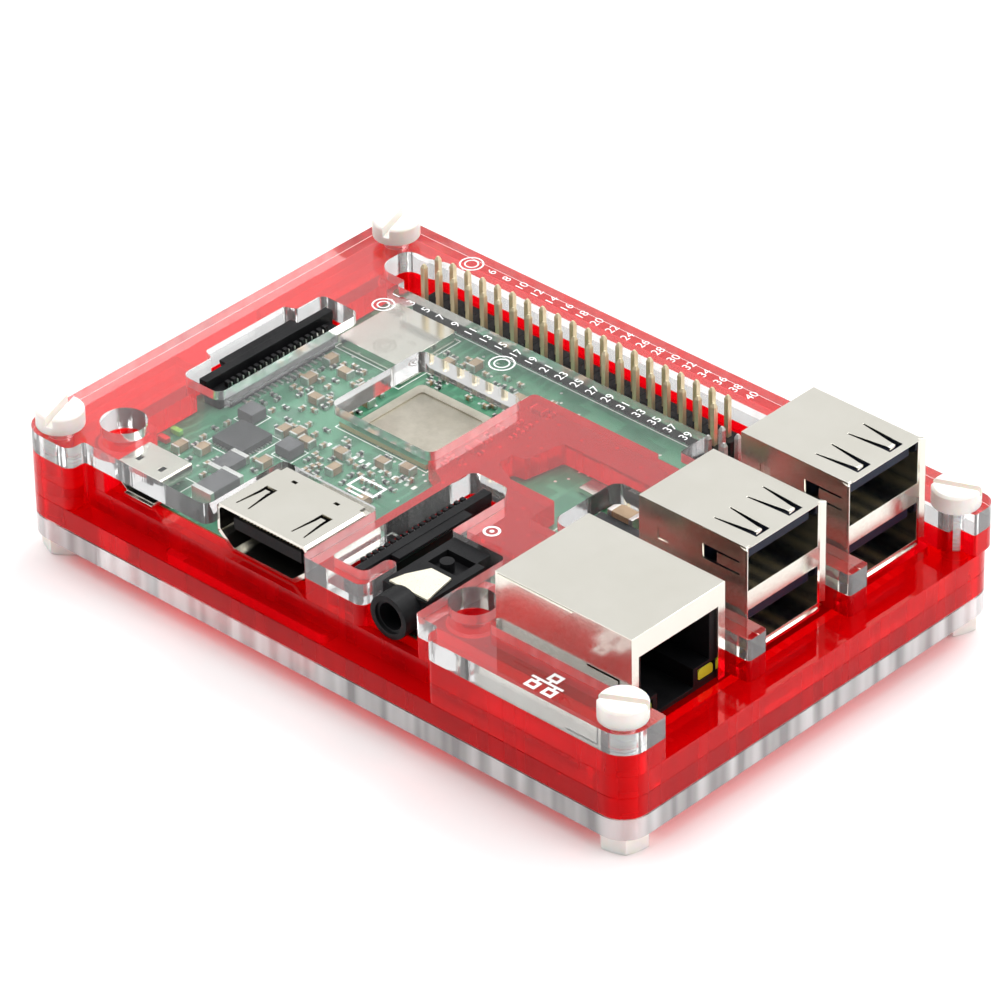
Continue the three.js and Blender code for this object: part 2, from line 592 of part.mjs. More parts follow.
// A folded metal can: a window in its face, a flap folded over each side and a spring tab in it.
function networkShell() {
  const near = NETWORK.centre - NETWORK.width / 2;
  const top = seat + NETWORK.height;
  const { wall } = NETWORK;
  const can = block(networkBack, networkFront, near, networkFar, seat, top);
  const hollow = block(networkBack + wall, networkFront - wall, near + wall, networkFar - wall,
    seat - 1, top - wall);
  const mouthSide = JACK_MOUTH.width / 2 + 0.9;
  const mouth = block(networkFront - 1, networkFront + 1, NETWORK.centre - mouthSide,
    NETWORK.centre + mouthSide, seat - 1, seat + JACK_MOUTH.sill + JACK_MOUTH.height + 0.6);
  const slit = 0.3;
  const sideSlits = [near, networkFar].flatMap((side) => {
    const tabBack = networkFront - 7;
    const tabFront = networkFront - 2.2;
    const tabLow = seat + 4.4;
    const tabHigh = seat + 6.6;
    return [
      block(tabBack, tabFront, side - 1, side + 1, tabHigh, tabHigh + slit),
      block(tabBack, tabFront, side - 1, side + 1, tabLow - slit, tabLow),
      block(tabFront, tabFront + slit, side - 1, side + 1, tabLow - slit, tabHigh + slit),
    ];
  });
  const { start, drop, slope, length, thickness } = NETWORK_FLAP;
  const flapBack = networkBack + start;
  const flap = outline([
    [flapBack, top - start],
    [flapBack + slope, top - drop],
    [flapBack + length - slope, top - drop],
    [flapBack + length, top - start],
  ]);
  const flaps = [
    extrude('y', flap, near - thickness, near + wall),
    extrude('y', flap, networkFar - wall, networkFar + thickness),
  ];
  return cut(join(cut(can, hollow), flaps), mouth, sideSlits);
}

// The black moulding with the plug cavity and the keyway for the plug's latch.
function networkInsert() {
  const gap = NETWORK.wall + FIT.insert;
  const near = NETWORK.centre - NETWORK.width / 2 + gap;
  const far = networkFar - gap;
  const top = seat + NETWORK.height - gap;
  const front = networkFront - gap;
  const sill = seat + JACK_MOUTH.sill;
  const body = block(networkBack + gap, front, near, far, seat, top);
  const half = JACK_MOUTH.width / 2;
  const key = JACK_MOUTH.keyWidth / 2;
  const mouth = outline([
    [NETWORK.centre - key, sill - JACK_MOUTH.keyHeight / 2],
    [NETWORK.centre + key, sill - JACK_MOUTH.keyHeight / 2],
    [NETWORK.centre + key, sill + JACK_MOUTH.keyHeight],
    [NETWORK.centre + half, sill + JACK_MOUTH.keyHeight],
    [NETWORK.centre + half, sill + JACK_MOUTH.height],
    [NETWORK.centre - half, sill + JACK_MOUTH.height],
    [NETWORK.centre - half, sill + JACK_MOUTH.keyHeight],
    [NETWORK.centre - key, sill + JACK_MOUTH.keyHeight],
  ]);
  const pockets = lampPlaces().map(([y, z]) => block(front - 3, front + 1,
    y - LAMP.width / 2 - FIT.insert, y + LAMP.width / 2 + FIT.insert,
    z - LAMP.height / 2 - FIT.insert, z + LAMP.height / 2 + FIT.insert));
  return cut(body, extrude('x', mouth, front - JACK_MOUTH.depth, front + 1), pockets);
}

const LAMP = { width: 2.6, height: 1.5, length: 2.6 };

function lampPlaces() {
  const reach = JACK_MOUTH.width / 2 - LAMP.width / 2 + 0.7;
  const height = seat + JACK_MOUTH.sill + 0.35;
  return [-reach, reach].map((side) => [NETWORK.centre + side, height]);
}

function lamp([y, z]) {
  const front = networkFront - NETWORK.wall - FIT.insert;
  const lens = outline([
    [y - LAMP.width / 2, z - LAMP.height / 2, 0.3],
    [y + LAMP.width / 2, z - LAMP.height / 2, 0.3],
    [y + LAMP.width / 2, z + LAMP.height / 2, 0.6],
    [y - LAMP.width / 2, z + LAMP.height / 2, 0.6],
  ]);
  return extrude('x', lens, front - LAMP.length, front - 0.05, 2);
}

addPart('network_port_shell', networkShell(), nickel);
addPart('network_port_insert', networkInsert(), blackPlastic);
addPart('network_lamp_near', lamp(lampPlaces()[0]), greenLens);
addPart('network_lamp_far', lamp(lampPlaces()[1]), amberLens);

// ---------------------------------------------------------------- stacked data ports

// A spring finger in a plate: its slits widen towards its free end, where a window lets it bend.
// Along names the way the finger points, and the plate is level.
function springFinger(place, along) {
  const { length, rootHalf, tipHalf, tipLength, window, slit } = place.size;
  const wide = tipHalf + window;
  const points = [
    [-length, rootHalf + slit],
    [-tipLength, wide],
    [0, wide],
    [0, -wide],
    [-tipLength, -wide],
    [-length, -rootHalf - slit],
    [-length, -rootHalf],
    [-tipLength, -tipHalf],
    [-tipLength / 2, -tipHalf],
    [-tipLength / 2, tipHalf],
    [-tipLength, tipHalf],
    [-length, rootHalf],
  ];
  const laid = points.map(([ahead, across]) => (
    along === 'x' ? [place.x + ahead, place.y + across] : [place.x + across, place.y + ahead]
  ));
  return extrude('z', outline(laid), place.z - 1, place.z + 1);
}

function dataShell(centre) {
  const near = centre - DATA.width / 2;
  const far = centre + DATA.width / 2;
  const top = seat + DATA.height;
  const { wall } = DATA;
  const can = block(dataBack, dataFront, near, far, seat, top);
  const webLow = seat + DATA_PORT.sill + DATA_PORT.height;
  const hollow = cut(
    block(dataBack + wall, dataFront + 1, near + wall, far - wall, seat + DATA_PORT.sill, top - wall),
    block(dataFront - DATA_PORT.webDepth, dataFront + 2, near, far, webLow, webLow + DATA_PORT.web),
  );
  // The mouth is flared: a wide strip on the far side, a thin one on the near side, a lip below.
  const { near: thin, far: wide, lip, thickness } = DATA_FLANGE;
  const flareFar = outline([
    [dataFront - 1.6, far - wall],
    [dataFront - thickness, far - wall],
    [dataFront + thickness, far + wide - 0.1],
    [dataFront, far + wide],
    [dataFront - 1.2, far],
    [dataFront - 1.6, far],
  ]);
  const flareNear = outline([
    [dataFront - 1, near],
    [dataFront, near - thin],
    [dataFront + thickness, near - thin + 0.1],
    [dataFront - 0.2, near + wall],
    [dataFront - 1, near + wall],
  ]);
  const lipProfile = outline([
    [dataFront - 1, seat + DATA_PORT.sill],
    [dataFront - 1, seat + DATA_PORT.sill - lip],
    [dataFront + thickness, seat + DATA_PORT.sill - lip - 0.3],
    [dataFront + thickness, seat + DATA_PORT.sill - lip],
  ]);
  const topLip = outline([
    [dataFront - 1, top - wall],
    [dataFront + thickness, top - 0.1],
    [dataFront + thickness, top],
    [dataFront - 1, top],
  ]);
  const flares = [
    extrude('z', flareFar, seat + DATA_PORT.sill, top - 0.3),
    extrude('z', flareNear, seat + DATA_PORT.sill, top - 0.3),
    extrude('y', lipProfile, near + 0.5, far - 0.5),
    extrude('y', topLip, near + 0.5, far - 0.5),
  ];
  const slits = [-DATA_FINGER.spread, DATA_FINGER.spread].map((side) => springFinger({
    x: dataFront - DATA_FINGER.setback, y: centre + side, z: top, size: DATA_FINGER,
  }, 'x'));
  // On the near side a window and two slits free a finger that points back.
  const { drop, height, windowBack, windowFront, slitFront, slit } = DATA_SIDE;
  const sideCut = (from, to, low, high, depth = wall + 0.1) => (
    block(dataFront - from, dataFront - to, near - 1, near + depth, top - low, top - high)
  );
  const sideFinger = [
    sideCut(windowBack, windowFront, drop + height, drop),
    sideCut(windowFront + 0.1, slitFront, drop + slit, drop),
    sideCut(windowFront + 0.1, slitFront, drop + height, drop + height - slit),
  ];
  const { dent, dentBack, dentDrop, dentDepth } = DATA_SIDE;
  const dentCut = sideCut(dentBack + dent / 2, dentBack - dent / 2, dentDrop + dent / 2,
    dentDrop - dent / 2, dentDepth);
  return cut(join(cut(can, hollow), flares), slits, sideFinger, dentCut);
}

// One moulding carries both contact tongues on a common back.
function dataInsert(centre) {
  const half = DATA.width / 2 - DATA.wall - FIT.insert;
  const low = seat + DATA_PORT.sill + FIT.insert;
  const high = seat + DATA.height - DATA.wall - FIT.insert;
  const back = dataBack + DATA.wall + FIT.insert;
  const bodyEnd = dataFront - DATA_PORT.webDepth - FIT.insert;
  const body = block(back, bodyEnd, centre - half, centre + half, low, high);
  const webTop = seat + DATA_PORT.sill + DATA_PORT.height + DATA_PORT.web;
  const ceilings = [webTop - DATA_PORT.web, high + FIT.insert];
  const tongues = ceilings.map((ceiling) => {
    const topSide = ceiling - DATA_PORT.tongueDrop;
    const section = outline([
      [bodyEnd - 1, topSide - DATA_PORT.tongue],
      [dataFront - 1.4, topSide - DATA_PORT.tongue],
      [dataFront - 0.9, topSide - DATA_PORT.tongue + 0.4],
      [dataFront - 0.9, topSide],
      [bodyEnd - 1, topSide],
    ]);
    return extrude('y', section, centre - half + 0.5, centre + half - 0.5);
  });
  return join(body, tongues);
}

dataCentres.forEach((centre, index) => {
  const place = ['near', 'far'][index];
  addPart(`data_port_shell_${place}`, dataShell(centre), nickel);
  addPart(`data_port_insert_${place}`, dataInsert(centre), navyPlastic);
});

// ---------------------------------------------------------------- video port

function videoProfile(inset) {
  const half = VIDEO.width / 2 - inset;
  const low = seat + VIDEO.lift + inset;
  const high = seat + VIDEO.lift + VIDEO.height - inset;
  const step = half - 2.2;
  return outline([
    [VIDEO.centre - step, low, 0.5],
    [VIDEO.centre + step, low, 0.5],
    [VIDEO.centre + half, low + 1.9, 0.4],
    [VIDEO.centre + half, high, 0.6],
    [VIDEO.centre - half, high, 0.6],
    [VIDEO.centre - half, low + 1.9, 0.4],
  ]);
}

function videoShell() {
  const front = -VIDEO.overhang;
  const back = front + VIDEO.depth;
  const top = seat + VIDEO.lift + VIDEO.height;
  const tube = extrude('y', videoProfile(0), front, back);
  const hollow = extrude('y', videoProfile(VIDEO.wall), front - 1, back - VIDEO.wall);
  const fingers = [-VIDEO_FINGER.spread, VIDEO_FINGER.spread].map((side) => springFinger({
    x: VIDEO.centre + side, y: front + VIDEO_FINGER.setback, z: top, size: VIDEO_FINGER,
  }, 'y'));
  const windows = [-VIDEO_WINDOW.spread, VIDEO_WINDOW.spread].map((side) => {
    const x = VIDEO.centre + side;
    const y = back - VIDEO_WINDOW.fromBack;
    return block(x - VIDEO_WINDOW.width / 2, x + VIDEO_WINDOW.width / 2, y - VIDEO_WINDOW.length / 2,
      y + VIDEO_WINDOW.length / 2, top - 1, top + 1);
  });
  // The plate is folded down at the back, and its two corners are cut away.
  const corners = [-1, 1].map((side) => {
    const edge = VIDEO.centre + side * VIDEO.width / 2;
    return block(edge - VIDEO_WINDOW.corner, edge + VIDEO_WINDOW.corner, back - VIDEO_WINDOW.corner,
      back + 1, top - VIDEO.wall, top + 1);
  });
  return cut(tube, hollow, fingers, windows, corners);
}

function videoInsert() {
  const front = -VIDEO.overhang;
  const back = front + VIDEO.depth - VIDEO.wall - FIT.insert;
  const inset = VIDEO.wall + FIT.insert;
  const middle = seat + VIDEO.lift + VIDEO.height / 2 + 0.3;
  const body = extrude('y', videoProfile(inset), back - 3.4, back);
  const tongue = block(VIDEO.centre - 5.6, VIDEO.centre + 5.6, front + 0.9, back - 3,
    middle - 0.8, middle + 0.8);
  return join(body, tongue);
}

addPart('video_port_shell', videoShell(), nickel);
addPart('video_port_insert', videoInsert(), blackPlastic);

// ---------------------------------------------------------------- power port

function powerPortProfile(inset) {
  const half = POWER_PORT.width / 2 - inset;
  const low = seat + POWER_PORT.lift + inset;
  const high = seat + POWER_PORT.lift + POWER_PORT.height - inset;
  return outline([
    [POWER_PORT.centre - half + 1.2, low, 0.2],
    [POWER_PORT.centre + half - 1.2, low, 0.2],
    [POWER_PORT.centre + half, low + 1, 0.3],
    [POWER_PORT.centre + half, high, 0.3],
    [POWER_PORT.centre - half, high, 0.3],
    [POWER_PORT.centre - half, low + 1, 0.3],
  ]);
}

function powerPortShell() {
  const front = -POWER_PORT.overhang;
  const back = front + POWER_PORT.depth;
  const top = seat + POWER_PORT.lift + POWER_PORT.height;
  const tube = extrude('y', powerPortProfile(0), front, back, 2);
  const hollow = extrude('y', powerPortProfile(POWER_PORT.wall), front - 1, back - POWER_PORT.wall, 2);
  const lipHalf = POWER_PORT.width / 2 - 1.4;
  const low = seat + POWER_PORT.lift;
  const lip = extrude('x', outline([
    [front + 0.6, low],
    [front - 0.5, low - 0.1],
    [front - 0.5, low + 0.15],
    [front + 0.6, low + POWER_PORT.wall],
  ]), POWER_PORT.centre - lipHalf, POWER_PORT.centre + lipHalf);
  const latches = [-1.9, 1.9].map((side) => {
    const x = POWER_PORT.centre + side;
    return block(x - 0.35, x + 0.35, front + 1.5, front + 2.6, top - POWER_PORT.wall - 0.1, top + 1);
  });
  return cut(join(cut(tube, hollow), lip), latches);
}

function powerPortInsert() {
  const front = -POWER_PORT.overhang;
  const back = front + POWER_PORT.depth - POWER_PORT.wall - FIT.insert;
  const inset = POWER_PORT.wall + FIT.insert;
  const middle = seat + POWER_PORT.lift + POWER_PORT.height / 2 + 0.35;
  const body = extrude('y', powerPortProfile(inset), back - 1.4, back, 2);
  const tongue = block(POWER_PORT.centre - 2.1, POWER_PORT.centre + 2.1, front + 0.8, back - 1,
    middle - 0.3, middle + 0.3);
  return join(body, tongue);
}

addPart('power_port_shell', powerPortShell(), nickel);
addPart('power_port_insert', powerPortInsert(), blackPlastic);

// ---------------------------------------------------------------- audio socket

function audioBody() {
  const left = AUDIO.centre - AUDIO.width / 2;
  const right = AUDIO.centre + AUDIO.width / 2;
  const far = AUDIO.setback + AUDIO.depth;
  const axis = seat + BARREL.axisHeight;
  const body = extrude('z', outline([
    [left, AUDIO.setback],
    [right, AUDIO.setback],
    [right, far - 2.2],
    [right - 1.2, far - 2.2],
    [right - 1.2, far],
    [left, far],
  ]), seat, seat + AUDIO.height);
  const ring = new THREE.Shape().absarc(AUDIO.centre, axis, BARREL.radius, 0, 2 * Math.PI);
  const bore = new THREE.Shape().absarc(AUDIO.centre, axis, BARREL.bore, 0, 2 * Math.PI);
  const mouth = new THREE.Shape().absarc(AUDIO.centre, axis, BARREL.bore + 0.35, 0, 2 * Math.PI);
  const front = -BARREL.reach;
  const trough = block(left + 1.2, right - 1.2, AUDIO.setback + 6.4, far - 2.4,
    seat + AUDIO.height - 1.1, seat + AUDIO.height + 1);
  const hollowed = cut(
    join(body, extrude('y', ring, front, AUDIO.setback + 0.2, 14)),
    extrude('y', bore, front - 1, front + BARREL.boreDepth, 10),
    extrude('y', mouth, front - 1, front + 0.4, 10),
    trough,
  );
  const boss = bar(AUDIO.centre - AUDIO_BOSS.left, AUDIO.setback + AUDIO_BOSS.far, AUDIO_BOSS.radius,
    seat + AUDIO.height - 1.2, seat + AUDIO.height + AUDIO_BOSS.rise, 20);
  return join(hollowed, boss);
}

// The pressed contact plate lies over the front of the body.
function audioPlate() {
  const left = AUDIO.centre - AUDIO.width / 2;
  const right = AUDIO.centre + AUDIO.width / 2;
  const near = AUDIO.setback + 0.25;
  const { shoulder, tail, leftWaist, leftTail, rightTail, thickness } = AUDIO_PLATE;
  const z = seat + AUDIO.height + FIT.solder;
  return extrude('z', outline([
    [left + 0.8, near],
    [right, near],
    [right - rightTail / 2, near + shoulder],
    [right - rightTail, near + tail],
    [left + leftTail, near + tail],
    [left + leftWaist, near + shoulder],
  ]), z, z + thickness);
}

addPart('audio_socket', audioBody(), blackPlastic);
addPart('audio_contact_plate', audioPlate(), ivoryPlate);

// ---------------------------------------------------------------- flat-cable connectors

// The ribbon goes down into the slot; the row of contacts stands along one side.
function flexHousing(place, side) {
  const half = FLEX.width / 2;
  const reach = FLEX.length / 2 - FLEX.leg - FIT.insert;
  const near = place.y - reach;
  const far = place.y + reach;
  const top = seat + FLEX.height;
  const body = block(place.x - half, place.x + half, near, far, seat, top);
  const footCentre = place.x - side * half;
  const foot = block(footCentre - FLEX.foot, footCentre + FLEX.foot, near + 1.2, far - 1.2,
    seat, seat + 0.9);
  const slotCentre = place.x - side * (half - FLEX_SLOT.rack - FLEX_SLOT.width / 2);
  const slot = block(slotCentre - FLEX_SLOT.width / 2, slotCentre + FLEX_SLOT.width / 2,
    place.y - FLEX_SLOT.cable / 2, place.y + FLEX_SLOT.cable / 2, top - FLEX_SLOT.depth, top + 1);
  return cut(join(body, foot), slot);
}

// The latch lifts straight up to free the ribbon. Its ledge is the finger grip.
function flexLatch(place, side) {
  const half = FLEX.width / 2;
  const legIn = FLEX.length / 2 - FLEX.leg;
  const legOut = FLEX.length / 2;
  const low = seat + FLEX.height + FIT.solder;
  const high = low + FLEX.latch;
  const ribbonSide = place.x - side * (half - FLEX_SLOT.rack - FLEX_SLOT.width);
  const ledgeSide = place.x + side * half;
  const beam = block(Math.min(ribbonSide, ledgeSide), Math.max(ribbonSide, ledgeSide),
    place.y - legOut, place.y + legOut, low, high);
  const ledge = extrude('y', outline([
    [place.x + side * (half - 0.5), high - 0.15],
    [place.x + side * (half - 0.5), low + FLEX_SLOT.lip],
    [place.x + side * (half + FLEX_SLOT.ledge - 0.4), low + FLEX_SLOT.lip],
    [place.x + side * (half + FLEX_SLOT.ledge), high - 0.5],
    [place.x + side * (half + FLEX_SLOT.ledge), high - 0.15],
  ]), place.y - FLEX_SLOT.ledgeLength / 2, place.y + FLEX_SLOT.ledgeLength / 2);
  const legs = [-1, 1].map((end) => {
    const ys = [place.y + end * legIn, place.y + end * legOut].sort((a, b) => a - b);
    return block(Math.min(ribbonSide, ledgeSide) + 0.1, Math.max(ribbonSide, ledgeSide) - 0.1,
      ys[0], ys[1], low - FLEX.legDrop, high);
  });
  return join(beam, ledge, legs);
}

addPart('camera_connector', flexHousing(CAMERA, 1), blackPlastic);
addPart('camera_latch', flexLatch(CAMERA, 1), blackPlastic);
addPart('display_connector', flexHousing(DISPLAY, -1), blackPlastic);
addPart('display_latch', flexLatch(DISPLAY, -1), blackPlastic);

// ---------------------------------------------------------------- chips and small parts

function processorBase() {
  const half = PROCESSOR.side / 2;
  return block(PROCESSOR.x - half, PROCESSOR.x + half, PROCESSOR.y - half, PROCESSOR.y + half,
    seat, seat + PROCESSOR.base);
}

// The pressed heat spreader: a raised rim round a shallow dish.
function heatSpreader() {
  const half = PROCESSOR.lid / 2;
  const low = seat + PROCESSOR.base + FIT.solder;
  const square = (inset, radius) => rectangle(PROCESSOR.x - half + inset, PROCESSOR.x + half - inset,
    PROCESSOR.y - half + inset, PROCESSOR.y + half - inset, radius);
  const plate = extrude('z', square(0, 0.8), low, low + PROCESSOR.lidHeight);
  const dish = extrude('z', square(PROCESSOR.rim, 0.5), low + PROCESSOR.lidHeight - PROCESSOR.dish,
    low + PROCESSOR.lidHeight + 1);
  return cut(plate, dish);
}

function wirelessShield() {
  const y = BOARD.width - SHIELD.fromRear;
  const [halfX, halfY] = [SHIELD.length / 2, SHIELD.width / 2];
  const can = extrude('z', rectangle(SHIELD.x - halfX, SHIELD.x + halfX, y - halfY, y + halfY, 0.6),
    seat, seat + SHIELD.height, 2);
  const { wall } = SHIELD;
  const inside = block(SHIELD.x - halfX + wall, SHIELD.x + halfX - wall, y - halfY + wall,
    y + halfY - wall, seat - 1, seat + SHIELD.height - wall);
  return cut(can, inside);
}

// The memory card socket under the board: a low metal can with its mouth at the board's end.
function cardSocket() {
  const high = underside - FIT.solder;
  const low = high - CARD.height;
  const near = CARD.y - CARD.width / 2;
  const far = CARD.y + CARD.width / 2;
  const can = block(0.6, 0.6 + CARD.length, near, far, low, high);
  const mouth = block(-1, CARD.length - 1.5, near + 0.5, far - 0.5, low + CARD.wall,
    low + CARD.wall + CARD.mouth);
  return cut(can, mouth);
}

const chips = [
  ['power_controller', 12.4, 14.7, 5.2, 5.2, 0.9, chipResin],
  ['network_chip', networkBack - 7.9, dataNearSide[0] + 6.95, 7.6, 7.6, 0.9, chipResin],
  ['power_switch_chip', networkBack - 0.1, dataNearSide[0] + 3.75, 3, 3, 0.8, chipResin],
  ['regulator_coil', 18.4, 4.5, 3.2, 5.0, 2.0, ferrite],
  ['input_fuse', 15.2, 9.5, 2.6, 4.0, 1.1, ferrite],
  ['core_coil', 9.6, 19.2, 2.6, 2.6, 1.5, ferrite],
  ['memory_coil', 18.6, 16.6, 2.6, 2.6, 1.5, ferrite],
  ['clock_crystal', 52.2, dataNearSide[0] + 12.35, 3.2, 2.5, 0.8, tinned],
  ['bulk_capacitor', networkBack - 8.7, dataNearSide[0] + 12.15, 3.4, 2.8, 1.7, ceramic],
  ['port_capacitor', networkBack + 0.9, dataNearSide[0] + 11.55, 2.4, 3.4, 1.7, ceramic],
];
for (const [name, x, y, length, width, height, material] of chips) {
  addPart(name, block(x - length / 2, x + length / 2, y - width / 2, y + width / 2,
    seat, seat + height), material);
}

function memoryChip() {
  const high = underside - FIT.solder;
  return block(PROCESSOR.x - 5, PROCESSOR.x + 5, PROCESSOR.y - 5, PROCESSOR.y + 5, high - 0.9, high);
}

function statusLamp(y) {
  return extrude('z', rectangle(4.4, 6, y - 0.4, y + 0.4, 0.1), seat, seat + 0.7, 1);
}

addPart('processor_package', processorBase(), solderMask);
addPart('heat_spreader', heatSpreader(), lidMetal);
addPart('wireless_shield', wirelessShield(), nickel);
addPart('memory_chip', memoryChip(), chipResin);
addPart('card_socket', cardSocket(), nickel);
addPart('status_lamp_power', statusLamp(8.4), redLens);
addPart('status_lamp_activity', statusLamp(10.6), greenLens);

export default model;
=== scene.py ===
"""Looks for a single board computer in its layered acrylic case.

Sizes are in millimetres in the board's own frame: x runs from the display end to the ports,
y from the front edge to the pin header, and z = 0 is the top of the board. at() turns them
into metres in the row frame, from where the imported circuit_board node lies.
"""

import math
import random

import bmesh
import bpy
from mathutils import Matrix, Vector


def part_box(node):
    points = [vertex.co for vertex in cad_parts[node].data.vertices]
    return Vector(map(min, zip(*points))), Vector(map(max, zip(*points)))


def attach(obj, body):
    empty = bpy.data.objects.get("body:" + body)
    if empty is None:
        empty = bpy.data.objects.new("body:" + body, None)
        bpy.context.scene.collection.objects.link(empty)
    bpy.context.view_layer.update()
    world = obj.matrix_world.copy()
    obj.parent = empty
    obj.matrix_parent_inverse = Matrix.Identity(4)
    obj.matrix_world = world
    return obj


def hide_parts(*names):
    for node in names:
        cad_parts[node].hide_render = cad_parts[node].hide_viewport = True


MM = 0.001
ROOT = "board_and_case"
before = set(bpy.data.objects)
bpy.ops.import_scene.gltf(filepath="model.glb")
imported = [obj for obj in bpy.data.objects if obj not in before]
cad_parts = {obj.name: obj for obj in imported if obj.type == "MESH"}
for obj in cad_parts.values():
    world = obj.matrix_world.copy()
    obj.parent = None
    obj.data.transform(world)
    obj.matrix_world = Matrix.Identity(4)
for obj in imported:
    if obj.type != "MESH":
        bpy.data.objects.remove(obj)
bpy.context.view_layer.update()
board_low, board_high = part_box("circuit_board")
ORIGIN = Vector((board_low.x, board_low.y, board_high.z))

# The board's own sizes, which the frame's boxes don't give.
BOARD_LENGTH = 85.0
BOARD_THICKNESS = 1.4
HOLE_COLUMNS = (3.5, 61.5)
HOLE_ROWS = (3.5, 52.5)
PIN_PITCH = 2.54
PIN_SIDE = 0.64
PIN_TAIL = 1.2
COPPER = 0.035
INK_TOP = 0.03
SEAT = 0.03


def at(x, y, z=0.0):
    return ORIGIN + Vector((x, y, z)) * MM


def span(node):
    """The lowest and highest corner of a CAD node in the board's frame, in millimetres."""
    low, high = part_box(node)
    return (low - ORIGIN) / MM, (high - ORIGIN) / MM


def stand(name, data):
    """Puts new data into the scene as an object."""
    piece = bpy.data.objects.new(name, data)
    bpy.context.scene.collection.objects.link(piece)
    return piece


# ---------------------------------------------------------------- node helpers


def link(tree, source, target):
    tree.links.new(source, target)


def add_node(tree, kind, **settings):
    made = tree.nodes.new(kind)
    for name, value in settings.items():
        if name in made.inputs:
            made.inputs[name].default_value = value
        else:
            setattr(made, name, value)
    return made


def remap(tree, low, high, to_low=0.0, to_high=1.0):
    """A map range node from low and high to to_low and to_high."""
    made = add_node(tree, "ShaderNodeMapRange")
    for label, value in (("From Min", low), ("From Max", high), ("To Min", to_low),
                         ("To Max", to_high)):
        made.inputs[label].default_value = value
    return made


def open_group(name, kind, inputs, outputs):
    """A node group with named sockets; inputs are (name, type, default)."""
    tree = bpy.data.node_groups.new(name, kind)
    for label, socket_type, default in inputs:
        socket = tree.interface.new_socket(name=label, in_out="INPUT", socket_type=socket_type)
        if default is not None:
            socket.default_value = default
    for label, socket_type in outputs:
        tree.interface.new_socket(name=label, in_out="OUTPUT", socket_type=socket_type)
    return tree, tree.nodes.new("NodeGroupInput"), tree.nodes.new("NodeGroupOutput")


def build_grain():
    """Two colours that blend in clouds, and a drifting roughness and fine relief from a grain."""
    tree, inlet, outlet = open_group(
        "surface_grain",
        "ShaderNodeTree",
        [
            ("First Color", "NodeSocketColor", (0.5, 0.5, 0.5, 1)),
            ("Second Color", "NodeSocketColor", (0.6, 0.6, 0.6, 1)),
            ("Cloud Scale", "NodeSocketFloat", 300.0),
            ("Grain Scale", "NodeSocketVector", (6000.0, 6000.0, 6000.0)),
            ("Smooth", "NodeSocketFloat", 0.3),
            ("Rough", "NodeSocketFloat", 0.5),
        ],
        [
            ("Color", "NodeSocketColor"),
            ("Roughness", "NodeSocketFloat"),
            ("Height", "NodeSocketFloat"),
        ],
    )
    place = add_node(tree, "ShaderNodeTexCoord")
    clouds = add_node(tree, "ShaderNodeTexNoise", Detail=4.0, Roughness=0.6)
    stretch = add_node(tree, "ShaderNodeVectorMath", operation="MULTIPLY")
    grain = add_node(tree, "ShaderNodeTexNoise", Scale=1.0, Detail=3.0)
    colour = add_node(tree, "ShaderNodeMix", data_type="RGBA")
    contrast = remap(tree, 0.35, 0.65)
    rough = remap(tree, 0.3, 0.7)
    link(tree, place.outputs["Object"], clouds.inputs["Vector"])
    link(tree, inlet.outputs["Cloud Scale"], clouds.inputs["Scale"])
    link(tree, place.outputs["Object"], stretch.inputs[0])
    link(tree, inlet.outputs["Grain Scale"], stretch.inputs[1])
    link(tree, stretch.outputs["Vector"], grain.inputs["Vector"])
    link(tree, clouds.outputs["Fac"], contrast.inputs["Value"])
    link(tree, contrast.outputs["Result"], colour.inputs["Factor"])
    link(tree, inlet.outputs["First Color"], colour.inputs["A"])
    link(tree, inlet.outputs["Second Color"], colour.inputs["B"])
    link(tree, grain.outputs["Fac"], rough.inputs["Value"])
    link(tree, inlet.outputs["Smooth"], rough.inputs["To Min"])
    link(tree, inlet.outputs["Rough"], rough.inputs["To Max"])
    link(tree, colour.outputs["Result"], outlet.inputs["Color"])
    link(tree, rough.outputs["Result"], outlet.inputs["Roughness"])
    link(tree, grain.outputs["Fac"], outlet.inputs["Height"])
    return tree


